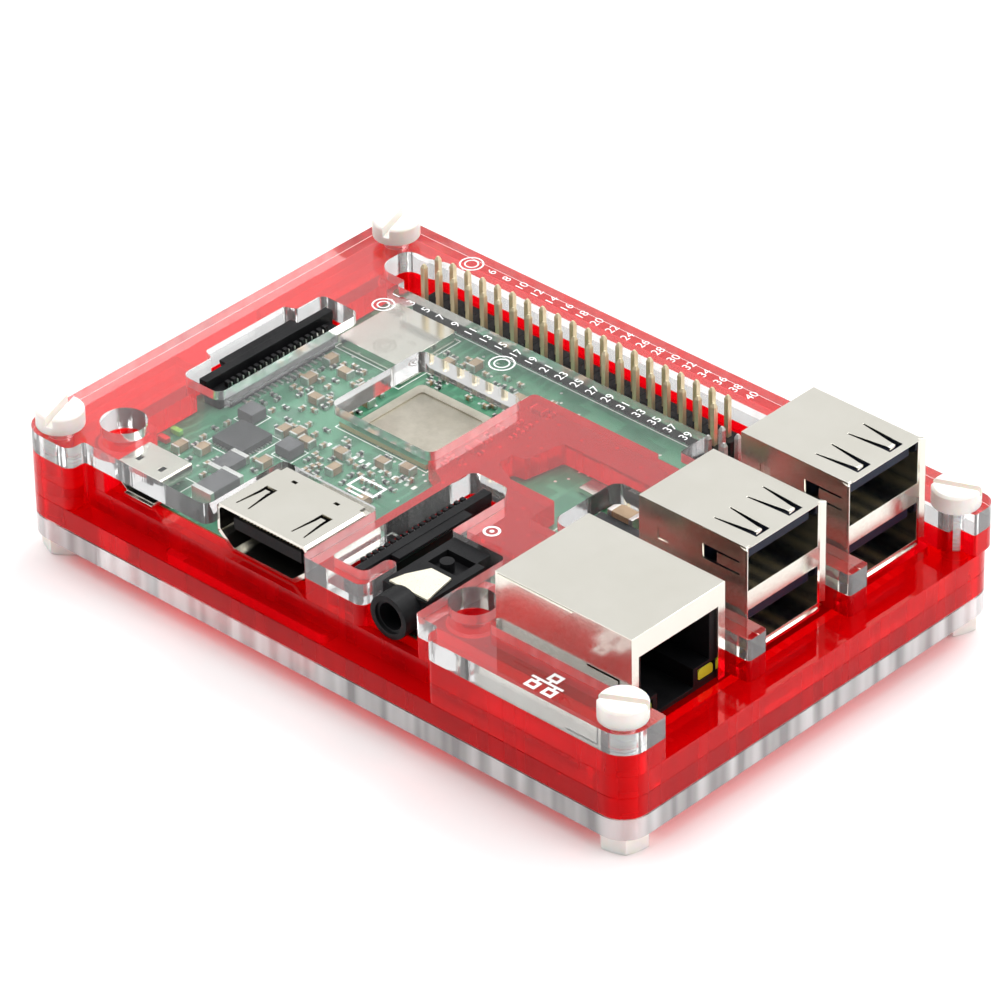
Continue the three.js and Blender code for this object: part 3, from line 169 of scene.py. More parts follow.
def build_cut_edge():
    """Marks the upright laser-cut edges of a sheet and gives them their fine upright ribs."""
    tree, inlet, outlet = open_group(
        "laser_cut_edge",
        "ShaderNodeTree",
        [
            ("Face Roughness", "NodeSocketFloat", 0.02),
            ("Edge Roughness", "NodeSocketFloat", 0.2),
            ("Rib Scale", "NodeSocketFloat", 2600.0),
        ],
        [
            ("Edge", "NodeSocketFloat"),
            ("Roughness", "NodeSocketFloat"),
            ("Height", "NodeSocketFloat"),
        ],
    )
    place = add_node(tree, "ShaderNodeTexCoord")
    shape = add_node(tree, "ShaderNodeNewGeometry")
    parts = add_node(tree, "ShaderNodeSeparateXYZ")
    upright = add_node(tree, "ShaderNodeMath", operation="ABSOLUTE")
    mask = remap(tree, 0.75, 0.45)
    squash = add_node(tree, "ShaderNodeVectorMath", operation="MULTIPLY")
    squash.inputs[1].default_value = (1.0, 1.0, 0.06)
    ribs = add_node(tree, "ShaderNodeTexNoise", Detail=2.0)
    waves = add_node(tree, "ShaderNodeTexNoise", Scale=420.0, Detail=1.0)
    both = add_node(tree, "ShaderNodeMath", operation="ADD")
    height = add_node(tree, "ShaderNodeMath", operation="MULTIPLY")
    rough = add_node(tree, "ShaderNodeMix", data_type="FLOAT")
    link(tree, shape.outputs["Normal"], parts.inputs["Vector"])
    link(tree, parts.outputs["Z"], upright.inputs[0])
    link(tree, upright.outputs["Value"], mask.inputs["Value"])
    link(tree, place.outputs["Object"], squash.inputs[0])
    link(tree, squash.outputs["Vector"], ribs.inputs["Vector"])
    link(tree, inlet.outputs["Rib Scale"], ribs.inputs["Scale"])
    link(tree, squash.outputs["Vector"], waves.inputs["Vector"])
    link(tree, ribs.outputs["Fac"], both.inputs[0])
    link(tree, waves.outputs["Fac"], both.inputs[1])
    link(tree, both.outputs["Value"], height.inputs[0])
    link(tree, mask.outputs["Result"], height.inputs[1])
    link(tree, mask.outputs["Result"], rough.inputs["Factor"])
    link(tree, inlet.outputs["Face Roughness"], rough.inputs["A"])
    link(tree, inlet.outputs["Edge Roughness"], rough.inputs["B"])
    streaks = remap(tree, 0.35, 0.65, 0.45)
    patchy = add_node(tree, "ShaderNodeMath", operation="MULTIPLY")
    link(tree, waves.outputs["Fac"], streaks.inputs["Value"])
    link(tree, streaks.outputs["Result"], patchy.inputs[0])
    link(tree, mask.outputs["Result"], patchy.inputs[1])
    link(tree, patchy.outputs["Value"], outlet.inputs["Edge"])
    link(tree, rough.outputs["Result"], outlet.inputs["Roughness"])
    link(tree, height.outputs["Value"], outlet.inputs["Height"])
    return tree


GRAIN = build_grain()
CUT_EDGE = build_cut_edge()


def start_material(name):
    material = bpy.data.materials.new(name)
    material.use_nodes = True
    tree = material.node_tree
    tree.nodes.clear()
    outlet = tree.nodes.new("ShaderNodeOutputMaterial")
    shader = tree.nodes.new("ShaderNodeBsdfPrincipled")
    link(tree, shader.outputs["BSDF"], outlet.inputs["Surface"])
    return material, tree, shader, outlet


def relief(tree, shader, height, strength, depth_mm):
    bump = add_node(tree, "ShaderNodeBump", Strength=strength, Distance=depth_mm * MM)
    link(tree, height, bump.inputs["Height"])
    link(tree, bump.outputs["Normal"], shader.inputs["Normal"])


def grained(name, first, second, smooth, rough, clouds=250.0, grain=(5000, 5000, 5000), bump=0.3,
            depth=0.01, **sockets):
    """A solid finish whose colour clouds, roughness and relief come from the grain group."""
    material, tree, shader, _ = start_material(name)
    group = add_node(tree, "ShaderNodeGroup", node_tree=GRAIN)
    group.inputs["First Color"].default_value = (*first, 1)
    group.inputs["Second Color"].default_value = (*second, 1)
    group.inputs["Cloud Scale"].default_value = clouds
    group.inputs["Grain Scale"].default_value = grain
    group.inputs["Smooth"].default_value = smooth
    group.inputs["Rough"].default_value = rough
    link(tree, group.outputs["Color"], shader.inputs["Base Color"])
    link(tree, group.outputs["Roughness"], shader.inputs["Roughness"])
    relief(tree, shader, group.outputs["Height"], bump, depth)
    for label, value in sockets.items():
        shader.inputs[label.replace("_", " ")].default_value = value
    return material


def acrylic(name, colour, glow, through_face, through_edge, face_roughness, edge_roughness, gloss,
            sheen=(1.0, 1.0, 1.0), painted_edge_brightness=0.9):
    """Cast acrylic: clear through its faces, ribbed and milky on its cut edges. Shadow rays pass
    through it in the glow colour, so that the lamps light what lies under it."""
    material, tree, shader, outlet = start_material(name)
    group = add_node(tree, "ShaderNodeGroup", node_tree=CUT_EDGE)
    group.inputs["Face Roughness"].default_value = face_roughness
    group.inputs["Edge Roughness"].default_value = edge_roughness
    shader.inputs["IOR"].default_value = 1.49
    shader.inputs["Specular IOR Level"].default_value = gloss
    shader.inputs["Specular Tint"].default_value = (*sheen, 1)
    clarity = add_node(tree, "ShaderNodeMix", data_type="FLOAT")
    clarity.inputs["A"].default_value = through_face
    clarity.inputs["B"].default_value = through_edge
    # The cut edges' colour is the face colour times the edge multiplier. This is painted light: above 1
    # it paints a glow on the edges, below 1 it paints shade on them, in patches along the edge mask.
    tint = add_node(tree, "ShaderNodeMix", data_type="RGBA")
    tint.inputs["A"].default_value = (*colour, 1)
    tint.inputs["B"].default_value = (*(min(part * painted_edge_brightness, 1.0) for part in colour), 1)
    link(tree, group.outputs["Edge"], clarity.inputs["Factor"])
    link(tree, group.outputs["Edge"], tint.inputs["Factor"])
    link(tree, tint.outputs["Result"], shader.inputs["Base Color"])
    link(tree, clarity.outputs["Result"], shader.inputs["Transmission Weight"])
    link(tree, group.outputs["Roughness"], shader.inputs["Roughness"])
    relief(tree, shader, group.outputs["Height"], 0.35, 0.05)
    path = add_node(tree, "ShaderNodeLightPath")
    through = add_node(tree, "ShaderNodeBsdfTransparent")
    through.inputs["Color"].default_value = (*glow, 1)
    mix = add_node(tree, "ShaderNodeMixShader")
    link(tree, path.outputs["Is Shadow Ray"], mix.inputs["Fac"])
    link(tree, shader.outputs["BSDF"], mix.inputs[1])
    link(tree, through.outputs["BSDF"], mix.inputs[2])
    link(tree, mix.outputs["Shader"], outlet.inputs["Surface"])
    return material


def board_mask(name, light, dark, fibre):
    """Solder mask over copper: lighter tracks and fills on a dark ground, bare fibre on the edge."""
    material, tree, shader, _ = start_material(name)
    place = add_node(tree, "ShaderNodeTexCoord")
    cells = add_node(tree, "ShaderNodeTexVoronoi", Scale=330.0, Randomness=0.75)
    cells.distance = "CHEBYCHEV"
    fills = add_node(tree, "ShaderNodeTexNoise", Scale=75.0, Detail=2.0)
    tracks = add_node(tree, "ShaderNodeTexWave", Scale=230.0, Distortion=3.2, Detail=1.0)
    tracks.wave_profile = "SIN"
    edge = remap(tree, 0.42, 0.5)
    lines = remap(tree, 0.7, 0.82)
    areas = remap(tree, 0.46, 0.52)
    pick = add_node(tree, "ShaderNodeMix", data_type="FLOAT")
    copper = add_node(tree, "ShaderNodeMix", data_type="RGBA")
    copper.inputs["A"].default_value = (*dark, 1)
    copper.inputs["B"].default_value = (*light, 1)
    shape = add_node(tree, "ShaderNodeNewGeometry")
    parts = add_node(tree, "ShaderNodeSeparateXYZ")
    upright = add_node(tree, "ShaderNodeMath", operation="ABSOLUTE")
    rim = remap(tree, 0.6, 0.3)
    final = add_node(tree, "ShaderNodeMix", data_type="RGBA")
    final.inputs["B"].default_value = (*fibre, 1)
    link(tree, place.outputs["Object"], cells.inputs["Vector"])
    link(tree, place.outputs["Object"], fills.inputs["Vector"])
    link(tree, place.outputs["Object"], tracks.inputs["Vector"])
    link(tree, cells.outputs["Distance"], edge.inputs["Value"])
    link(tree, tracks.outputs["Fac"], lines.inputs["Value"])
    link(tree, fills.outputs["Fac"], areas.inputs["Value"])
    link(tree, areas.outputs["Result"], pick.inputs["Factor"])
    link(tree, lines.outputs["Result"], pick.inputs["A"])
    link(tree, edge.outputs["Result"], pick.inputs["B"])
    link(tree, pick.outputs["Result"], copper.inputs["Factor"])
    link(tree, shape.outputs["Normal"], parts.inputs["Vector"])
    link(tree, parts.outputs["Z"], upright.inputs[0])
    link(tree, upright.outputs["Value"], rim.inputs["Value"])
    link(tree, rim.outputs["Result"], final.inputs["Factor"])
    link(tree, copper.outputs["Result"], final.inputs["A"])
    link(tree, final.outputs["Result"], shader.inputs["Base Color"])
    shader.inputs["Roughness"].default_value = 0.38
    shader.inputs["Coat Weight"].default_value = 0.4
    shader.inputs["Coat Roughness"].default_value = 0.2
    relief(tree, shader, pick.outputs["Result"], 0.4, 0.03)
    return material


# Each sheet's edge multiplier paints light on its cut edges. The clear cover's default 0.9 paints them
# darker, the base's 1.01 and the red sheets' 1.13 paint them lighter.
CLEAR = acrylic("clear_acrylic", (0.975, 0.985, 0.985), glow=(0.93, 0.94, 0.94), through_face=1.0,
                through_edge=0.84, face_roughness=0.01, edge_roughness=0.06, gloss=0.5)
CLEAR_BASE = acrylic("clear_acrylic_base", (0.985, 0.985, 0.985), glow=(0.95, 0.95, 0.95),
                     through_face=1.0, through_edge=0.36, face_roughness=0.01, edge_roughness=0.1,
                     gloss=0.5, painted_edge_brightness=1.01)
RED = acrylic("red_acrylic", (0.86, 0.002, 0.008), glow=(0.95, 0.06, 0.07), through_face=0.85,
              through_edge=0.66, face_roughness=0.02, edge_roughness=0.15, gloss=0.08,
              sheen=(1.0, 0.12, 0.12), painted_edge_brightness=1.13)
NYLON = grained("natural_nylon", (0.86, 0.83, 0.78), (0.93, 0.90, 0.86), 0.32, 0.5,
                Subsurface_Weight=0.35, Subsurface_Scale=0.002, depth=0.02)
MASK = board_mask("green_solder_mask", (0.05, 0.21, 0.115), (0.022, 0.135, 0.07),
                  (0.42, 0.36, 0.17))
NICKEL = grained("nickel_plated_sheet", (0.79, 0.77, 0.70), (0.75, 0.73, 0.655), 0.14, 0.22,
                 clouds=90.0, grain=(2600, 2600, 2600), bump=0.05, depth=0.004, Metallic=1.0)
TIN = grained("tinned_metal", (0.74, 0.74, 0.72), (0.6, 0.6, 0.58), 0.25, 0.45, bump=0.4,
              Metallic=1.0)
GILT = grained("gilt_pin", (0.84, 0.73, 0.50), (0.76, 0.65, 0.42), 0.3, 0.42, bump=0.04,
               grain=(2500, 2500, 900), Metallic=0.7)
BLACK = grained("black_moulding", (0.006, 0.006, 0.007), (0.012, 0.012, 0.013), 0.35, 0.55,
                Specular_IOR_Level=0.15)
NAVY = grained("navy_moulding", (0.006, 0.009, 0.024), (0.010, 0.015, 0.036), 0.3, 0.5,
               Specular_IOR_Level=0.2)
RESIN = grained("chip_resin", (0.022, 0.023, 0.025), (0.045, 0.046, 0.048), 0.45, 0.65,
                clouds=700.0, bump=0.5, Specular_IOR_Level=0.25)
LID = grained("plated_lid", (0.54, 0.505, 0.43), (0.46, 0.43, 0.36), 0.32, 0.48, clouds=500.0,
              grain=(2500, 9000, 9000), bump=0.25, Metallic=0.9)
FERRITE = grained("pressed_ferrite", (0.05, 0.05, 0.055), (0.09, 0.09, 0.095), 0.5, 0.75,
                  clouds=900.0, bump=0.8, depth=0.02)
CERAMIC = grained("fired_ceramic", (0.26, 0.18, 0.11), (0.34, 0.25, 0.16), 0.3, 0.5,
                  Specular_IOR_Level=0.3)
RESISTOR = grained("resistor_glaze", (0.02, 0.02, 0.022), (0.04, 0.04, 0.042), 0.2, 0.4)
IVORY = grained("ivory_spring_sheet", (0.90, 0.86, 0.70), (0.84, 0.79, 0.62), 0.25, 0.4,
                Metallic=0.35)
INK = grained("white_ink", (0.80, 0.84, 0.80), (0.70, 0.76, 0.71), 0.5, 0.7, clouds=1500.0)
FROST = grained("engraved_frost", (0.93, 0.93, 0.93), (0.84, 0.84, 0.84), 0.55, 0.85,
                clouds=1800.0, bump=0.8, depth=0.02)
AMBER = grained("yellow_green_lens", (0.72, 0.80, 0.05), (0.60, 0.70, 0.04), 0.1, 0.2,
                Transmission_Weight=0.3, Coat_Weight=0.6)
LIME = grained("green_lens", (0.25, 0.62, 0.12), (0.20, 0.52, 0.10), 0.1, 0.2,
               Transmission_Weight=0.3, Coat_Weight=0.6)
RUBY = grained("red_lens", (0.72, 0.05, 0.04), (0.6, 0.03, 0.03), 0.1, 0.2,
               Transmission_Weight=0.3, Coat_Weight=0.6)


# ---------------------------------------------------------------- mesh helpers


def sharpen(mesh, degrees=32):
    """Smooth shading, with a hard edge wherever two faces meet at more than this angle."""
    form = bmesh.new()
    form.from_mesh(mesh)
    for face in form.faces:
        face.smooth = True
    for edge in form.edges:
        sharp = len(edge.link_faces) != 2 or edge.calc_face_angle(0.0) > math.radians(degrees)
        edge.smooth = not sharp
    form.to_mesh(mesh)
    form.free()


def place(mesh, name, slot, body=ROOT, nodes=(), material=None):
    piece = stand(name, mesh)
    if material is not None:
        mesh.materials.clear()
        mesh.materials.append(material)
    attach(piece, body)
    if nodes:
        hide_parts(*nodes)
    return piece


def bake_modifiers(piece):
    """The evaluated mesh of a piece as a plain mesh; the piece itself is removed."""
    bpy.context.view_layer.update()
    graph = bpy.context.evaluated_depsgraph_get()
    mesh = bpy.data.meshes.new_from_object(piece.evaluated_get(graph))
    bpy.data.objects.remove(piece)
    return mesh


def with_bevel(mesh, width_mm, segments=2, degrees=32):
    piece = stand("edging", mesh)
    bevel = piece.modifiers.new("edge", "BEVEL")
    bevel.width = width_mm * MM
    bevel.segments = segments
    bevel.limit_method = "ANGLE"
    bevel.angle_limit = math.radians(degrees)
    bevel.use_clamp_overlap = True
    return bake_modifiers(piece)


def even_normals(mesh):
    """Keeps broad faces flat where a rounded edge runs into them."""
    piece = stand("evening", mesh)
    weigh = piece.modifiers.new("weigh", "WEIGHTED_NORMAL")
    weigh.weight = 100
    weigh.keep_sharp = True
    return bake_modifiers(piece)


def cad_copy(node):
    """A merged copy of a CAD node with its flat faces made whole, ready for a bevel."""
    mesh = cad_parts[node].data.copy()
    form = bmesh.new()
    form.from_mesh(mesh)
    bmesh.ops.remove_doubles(form, verts=form.verts, dist=1e-6)
    bmesh.ops.dissolve_limit(form, angle_limit=math.radians(1.0), verts=form.verts,
                             edges=form.edges)
    bmesh.ops.connect_verts_concave(form, faces=form.faces)
    form.to_mesh(mesh)
    form.free()
    for layer in list(mesh.uv_layers):
        mesh.uv_layers.remove(layer)
    return mesh


def dressed(node, material, slot, edge_mm=0.08, segments=2, body=ROOT, name=None, turn=0.0):
    """Shows a CAD node with softened edges, its own finish and a turn about its upright axis."""
    mesh = cad_copy(node)
    if turn:
        xs, ys = ([vert.co[axis] for vert in mesh.vertices] for axis in (0, 1))
        axle = Vector(((min(xs) + max(xs)) / 2, (min(ys) + max(ys)) / 2, 0))
        mesh.transform(Matrix.Translation(axle) @ Matrix.Rotation(turn, 4, "Z")
                       @ Matrix.Translation(-axle))
    if edge_mm:
        mesh = with_bevel(mesh, edge_mm, segments)
    sharpen(mesh)
    if edge_mm:
        mesh = even_normals(mesh)
    return place(mesh, name or f"{node}_skin", slot, body, [node], material)


class Form:
    """Collects blocks and prisms into one mesh, in the board's frame."""

    def __init__(self):
        self.form = bmesh.new()

    def block(self, x0, x1, y0, y1, z0, z1):
        corners = [(x, y, z) for z in (z0, z1) for y in (y0, y1) for x in (x0, x1)]
        verts = [self.form.verts.new(at(*corner)) for corner in corners]
        for a, b, c, d in ((0, 2, 3, 1), (4, 5, 7, 6), (0, 1, 5, 4), (2, 6, 7, 3), (0, 4, 6, 2),
                           (1, 3, 7, 5)):
            self.form.faces.new([verts[a], verts[b], verts[c], verts[d]])
        return self

    def prism(self, points, low, high, axis="z"):
        """Extrudes an outline along an axis; along x it is (y, z), along y it is (x, z)."""
        turn = {"z": lambda a, b, c: (a, b, c), "x": lambda a, b, c: (c, a, b),
                "y": lambda a, b, c: (a, c, b)}[axis]
        near = [self.form.verts.new(at(*turn(a, b, low))) for a, b in points]
        far = [self.form.verts.new(at(*turn(a, b, high))) for a, b in points]
        made = [self.form.faces.new(list(reversed(near))), self.form.faces.new(far)]
        count = len(points)
        for i in range(count):
            j = (i + 1) % count
            made.append(self.form.faces.new([near[i], near[j], far[j], far[i]]))
        bmesh.ops.recalc_face_normals(self.form, faces=made)
        return self

    def ring(self, x, y, inner, outer, low, high, sides=28):
        rims = []
        for radius, z in ((inner, low), (outer, low), (outer, high), (inner, high)):
            rims.append([
                self.form.verts.new(at(x + radius * math.cos(2 * math.pi * k / sides),
                                       y + radius * math.sin(2 * math.pi * k / sides), z))
                for k in range(sides)
            ])
        made = []
        for a, b in ((0, 1), (1, 2), (2, 3), (3, 0)):
            for k in range(sides):
                j = (k + 1) % sides
                made.append(self.form.faces.new([rims[a][k], rims[a][j], rims[b][j], rims[b][k]]))
        bmesh.ops.recalc_face_normals(self.form, faces=made)
        return self

    def disc(self, x, y, radius, low, high, sides=24):
        points = [(x + radius * math.cos(2 * math.pi * k / sides),
                   y + radius * math.sin(2 * math.pi * k / sides)) for k in range(sides)]
        return self.prism(points, low, high)

    def outlined(self, x0, x1, y0, y1, width, low, high):
        """A rectangle drawn as a line of the given width, inside its corners."""
        self.block(x0, x1, y0, y0 + width, low, high)
        self.block(x0, x1, y1 - width, y1, low, high)
        self.block(x0, x0 + width, y0 + width, y1 - width, low, high)
        return self.block(x1 - width, x1, y0 + width, y1 - width, low, high)

    def mesh(self, edge_mm=0.0, segments=2):
        mesh = bpy.data.meshes.new("form")
        self.form.to_mesh(mesh)
        self.form.free()
        if edge_mm:
            mesh = with_bevel(mesh, edge_mm, segments)
        sharpen(mesh)
        return even_normals(mesh) if edge_mm else mesh


# ---------------------------------------------------------------- repeated pieces


def open_field(name, sizes):
    """A tree that stands one shape on every point, turned by the point's own turn."""
    inputs = [("Geometry", "NodeSocketGeometry", None)]
    inputs += [(label, "NodeSocketFloat", default) for label, default in sizes]
    inputs += [("Material", "NodeSocketMaterial", None)]
    tree, inlet, outlet = open_group(
        name, "GeometryNodeTree", inputs, [("Geometry", "NodeSocketGeometry")]
    )
    spread = add_node(tree, "GeometryNodeInstanceOnPoints")
    turn = add_node(tree, "GeometryNodeInputNamedAttribute", data_type="FLOAT")
    turn.inputs["Name"].default_value = "turn"
    angles = add_node(tree, "ShaderNodeCombineXYZ")
    rotation = add_node(tree, "FunctionNodeEulerToRotation")
    real = add_node(tree, "GeometryNodeRealizeInstances")
    paint = add_node(tree, "GeometryNodeSetMaterial")
    link(tree, inlet.outputs["Geometry"], spread.inputs["Points"])
    link(tree, turn.outputs["Attribute"], angles.inputs["Z"])
    link(tree, angles.outputs["Vector"], rotation.inputs["Euler"])
    link(tree, rotation.outputs["Rotation"], spread.inputs["Rotation"])
    link(tree, spread.outputs["Instances"], real.inputs["Geometry"])
    link(tree, real.outputs["Geometry"], paint.inputs["Geometry"])
    link(tree, inlet.outputs["Material"], paint.inputs["Material"])
    link(tree, paint.outputs["Geometry"], outlet.inputs["Geometry"])
    return tree, inlet, spread


def lift(tree, geometry, inlet, label):
    """Raises a shape by half the named size, so that it stands on its point."""
    half = add_node(tree, "ShaderNodeMath", operation="MULTIPLY")
    half.inputs[1].default_value = 0.5
    offset = add_node(tree, "ShaderNodeCombineXYZ")
    move = add_node(tree, "GeometryNodeTransform")
    link(tree, inlet.outputs[label], half.inputs[0])
    link(tree, half.outputs["Value"], offset.inputs["Z"])
    link(tree, offset.outputs["Vector"], move.inputs["Translation"])
    link(tree, geometry, move.inputs["Geometry"])
    return move.outputs["Geometry"]


def build_block_field():
    tree, inlet, spread = open_field(
        "block_field", [("Length", 0.001), ("Width", 0.0005), ("Height", 0.0004)]
    )
    size = add_node(tree, "ShaderNodeCombineXYZ")
    cube = add_node(tree, "GeometryNodeMeshCube")
    link(tree, inlet.outputs["Length"], size.inputs["X"])
    link(tree, inlet.outputs["Width"], size.inputs["Y"])
    link(tree, inlet.outputs["Height"], size.inputs["Z"])
    link(tree, size.outputs["Vector"], cube.inputs["Size"])
    link(tree, lift(tree, cube.outputs["Mesh"], inlet, "Height"), spread.inputs["Instance"])
    return tree


def build_cone_field():
    """Tapered round or square studs: solder cones, vias and the points of pins."""
    tree, inlet, spread = open_field(
        "stud_field", [("Foot Radius", 0.0005), ("Head Radius", 0.0004), ("Height", 0.0004)]
    )
    sides = tree.interface.new_socket(name="Sides", in_out="INPUT", socket_type="NodeSocketInt")
    sides.default_value = 12
    cone = add_node(tree, "GeometryNodeMeshCone")
    link(tree, inlet.outputs["Sides"], cone.inputs["Vertices"])
    link(tree, inlet.outputs["Foot Radius"], cone.inputs["Radius Bottom"])
    link(tree, inlet.outputs["Head Radius"], cone.inputs["Radius Top"])
    link(tree, inlet.outputs["Height"], cone.inputs["Depth"])
    link(tree, cone.outputs["Mesh"], spread.inputs["Instance"])
    return tree


def build_thread():
    """A screw thread: a spiral of the given turns with a small rounded ridge swept along it."""
    tree, inlet, outlet = open_group(
        "screw_thread",
        "GeometryNodeTree",
        [
            ("Geometry", "NodeSocketGeometry", None),
            ("Radius", "NodeSocketFloat", 0.0014),
            ("Ridge", "NodeSocketFloat", 0.00016),
            ("Turns", "NodeSocketFloat", 30.0),
            ("Height", "NodeSocketFloat", 0.016),
            ("Material", "NodeSocketMaterial", None),
        ],
        [("Geometry", "NodeSocketGeometry")],
    )
    spiral = add_node(tree, "GeometryNodeCurveSpiral", Resolution=18)
    ridge = add_node(tree, "GeometryNodeCurvePrimitiveCircle", Resolution=6)
    sweep = add_node(tree, "GeometryNodeCurveToMesh")
    sweep.inputs["Fill Caps"].default_value = True
    spread = add_node(tree, "GeometryNodeInstanceOnPoints")
    real = add_node(tree, "GeometryNodeRealizeInstances")
    paint = add_node(tree, "GeometryNodeSetMaterial")
    link(tree, inlet.outputs["Turns"], spiral.inputs["Rotations"])
    link(tree, inlet.outputs["Radius"], spiral.inputs["Start Radius"])
    link(tree, inlet.outputs["Radius"], spiral.inputs["End Radius"])
    link(tree, inlet.outputs["Height"], spiral.inputs["Height"])
    link(tree, inlet.outputs["Ridge"], ridge.inputs["Radius"])
    link(tree, spiral.outputs["Curve"], sweep.inputs["Curve"])
    link(tree, ridge.outputs["Curve"], sweep.inputs["Profile Curve"])
    link(tree, inlet.outputs["Geometry"], spread.inputs["Points"])
    link(tree, sweep.outputs["Mesh"], spread.inputs["Instance"])
    link(tree, spread.outputs["Instances"], real.inputs["Geometry"])
    link(tree, real.outputs["Geometry"], paint.inputs["Geometry"])
    link(tree, inlet.outputs["Material"], paint.inputs["Material"])
    link(tree, paint.outputs["Geometry"], outlet.inputs["Geometry"])
    return tree


BLOCKS = build_block_field()
STUDS = build_cone_field()
THREAD = build_thread()


def field(name, tree, points, material, slot, body=ROOT, nodes=(), **sizes):
    """Runs a tree over points (x, y, z, turn) in the board's frame and keeps the plain mesh."""
    mesh = bpy.data.meshes.new(name)
    mesh.from_pydata([at(*point[:3]) for point in points], [], [])
    turn = mesh.attributes.new("turn", "FLOAT", "POINT")
    turn.data.foreach_set("value", [point[3] if len(point) > 3 else 0.0 for point in points])
    seed = stand(name + "_points", mesh)
    modifier = seed.modifiers.new("field", "NODES")
    modifier.node_group = tree
    wanted = {label.replace("_", " "): value for label, value in sizes.items()}
    for item in tree.interface.items_tree:
        if item.item_type == "SOCKET" and item.in_out == "INPUT" and item.name in wanted:
            value = wanted[item.name]
            counted = item.name in ("Sides", "Turns")
            modifier[item.identifier] = value if counted else value * MM
        elif item.name == "Material" and item.in_out == "INPUT":
            modifier[item.identifier] = material
    made = bake_modifiers(seed)
    for attribute in [a for a in made.attributes if a.name == "turn"]:
        made.attributes.remove(attribute)
    sharpen(made)
    return place(made, name, slot, body, nodes, material)


# ---------------------------------------------------------------- the case

for sheet, finish, slot in (
    ("base_plate", CLEAR_BASE, "clear_acrylic"),
    ("lower_frame", RED, "red_acrylic"),
    ("middle_frame", RED, "red_acrylic"),
    ("upper_frame", RED, "red_acrylic"),
    ("top_cover", CLEAR, "clear_acrylic"),
):
    dressed(sheet, finish, slot, edge_mm=0.07, segments=1)

# The slots point every way, as the screws were driven home: how far each is turned from its CAD one.
SLOT_TURNS = {"front_left": 0.0, "front_right": 1.04, "back_left": 0.98, "back_right": 0.0}
THREAD_START = 0.35
thread_places = []
for corner, slot_turn in SLOT_TURNS.items():
    dressed(f"screw_{corner}", NYLON, "nylon", edge_mm=0.12, turn=slot_turn)
    dressed(f"nut_{corner}", NYLON, "nylon", edge_mm=0.15)
    low, high = span(f"screw_{corner}")
    thread_places.append(((low.x + high.x) / 2, (low.y + high.y) / 2, low.z + THREAD_START))
field("screw_threads", THREAD, thread_places, NYLON, "nylon", Radius=1.42, Ridge=0.17,
      Turns=32.0, Height=16.2)

# ---------------------------------------------------------------- the board

dressed("circuit_board", MASK, "circuit_laminate", edge_mm=0.04, segments=1)

hole_places = [(x, y) for x in HOLE_COLUMNS for y in HOLE_ROWS]
rings = Form()
for x, y in hole_places:
    rings.ring(x, y, 1.4, 3.05, 0.0, COPPER, 36)
place(rings.mesh(), "hole_rings", "tinned_metal", material=TIN)


def pin_places(centre_x, centre_y, columns, rows):
    """Pins in a grid, column by column and from the front to the back."""
    return [
        (centre_x + (i - (columns - 1) / 2) * PIN_PITCH, centre_y + (j - (rows - 1) / 2) * PIN_PITCH)
        for i in range(columns)
        for j in range(rows)
    ]


def pin_header(name, node, places, top, metal, slot):
    """Square pins with cut points in a moulding that is notched between its cells."""
    tail, tip, head = PIN_TAIL + BOARD_THICKNESS, 0.45, 0.2
    base_height = PIN_PITCH
    reach, notch, seat = PIN_PITCH / 2, 0.32, 0.05
    field(f"{name}_pins", BLOCKS, [(x, y, -tail) for x, y in places], metal, slot, nodes=[node],
          Length=PIN_SIDE, Width=PIN_SIDE, Height=tail + top - tip)
    field(f"{name}_points", STUDS, [(x, y, top - tip, math.pi / 4) for x, y in places], metal, slot,
          Foot_Radius=PIN_SIDE / math.sqrt(2), Head_Radius=head, Height=tip, Sides=4)
    moulding = Form()
    for x, y in places:
        moulding.prism([
            (x - reach + notch, y - reach), (x + reach - notch, y - reach),
            (x + reach, y - reach + notch), (x + reach, y + reach - notch),
            (x + reach - notch, y + reach), (x - reach + notch, y + reach),
            (x - reach, y + reach - notch), (x - reach, y - reach + notch),
        ], seat, base_height + seat)
    place(moulding.mesh(0.06, 1), f"{name}_moulding", "black_plastic", material=BLACK)


header_low, header_high = span("pin_header")
header_pins = pin_places((header_low.x + header_high.x) / 2, HOLE_ROWS[1], 20, 2)
power_low, power_high = span("power_header")
power_centre = (power_low + power_high) / 2
power_pins = pin_places(power_centre.x, power_centre.y, 2, 2)
pin_header("header", "pin_header", header_pins, header_high.z, GILT, "header")
pin_header("power_header", "power_header", power_pins, power_high.z, TIN, "bare_pins")
solder = 0.55
field("header_solder", STUDS,
      [(x, y, -BOARD_THICKNESS - solder) for x, y in header_pins + power_pins], TIN, "tinned_metal",
      Foot_Radius=0.4, Head_Radius=0.85, Height=solder, Sides=14)

# ---------------------------------------------------------------- chips

for node, material, slot, edge in (
    ("processor_package", MASK, "circuit_laminate", 0.05),
    ("heat_spreader", LID, "lid_metal", 0.12),
    ("wireless_shield", NICKEL, "nickel_shell", 0.18),
    ("memory_chip", RESIN, "chip_resin", 0.06),
    ("card_socket", NICKEL, "nickel_shell", 0.06),
    ("power_controller", RESIN, "chip_resin", 0.05),
    ("network_chip", RESIN, "chip_resin", 0.05),
    ("power_switch_chip", RESIN, "chip_resin", 0.05),
    ("regulator_coil", FERRITE, "ferrite", 0.25),
    ("input_fuse", FERRITE, "ferrite", 0.12),
    ("core_coil", FERRITE, "ferrite", 0.2),
    ("memory_coil", FERRITE, "ferrite", 0.2),
    ("clock_crystal", NICKEL, "tinned_metal", 0.12),
    ("bulk_capacitor", CERAMIC, "ceramic", 0.12),
    ("port_capacitor", CERAMIC, "ceramic", 0.12),
    ("status_lamp_power", RUBY, "red_lens", 0.06),
    ("status_lamp_activity", LIME, "green_lens", 0.06),
):
    dressed(node, material, slot, edge_mm=edge)


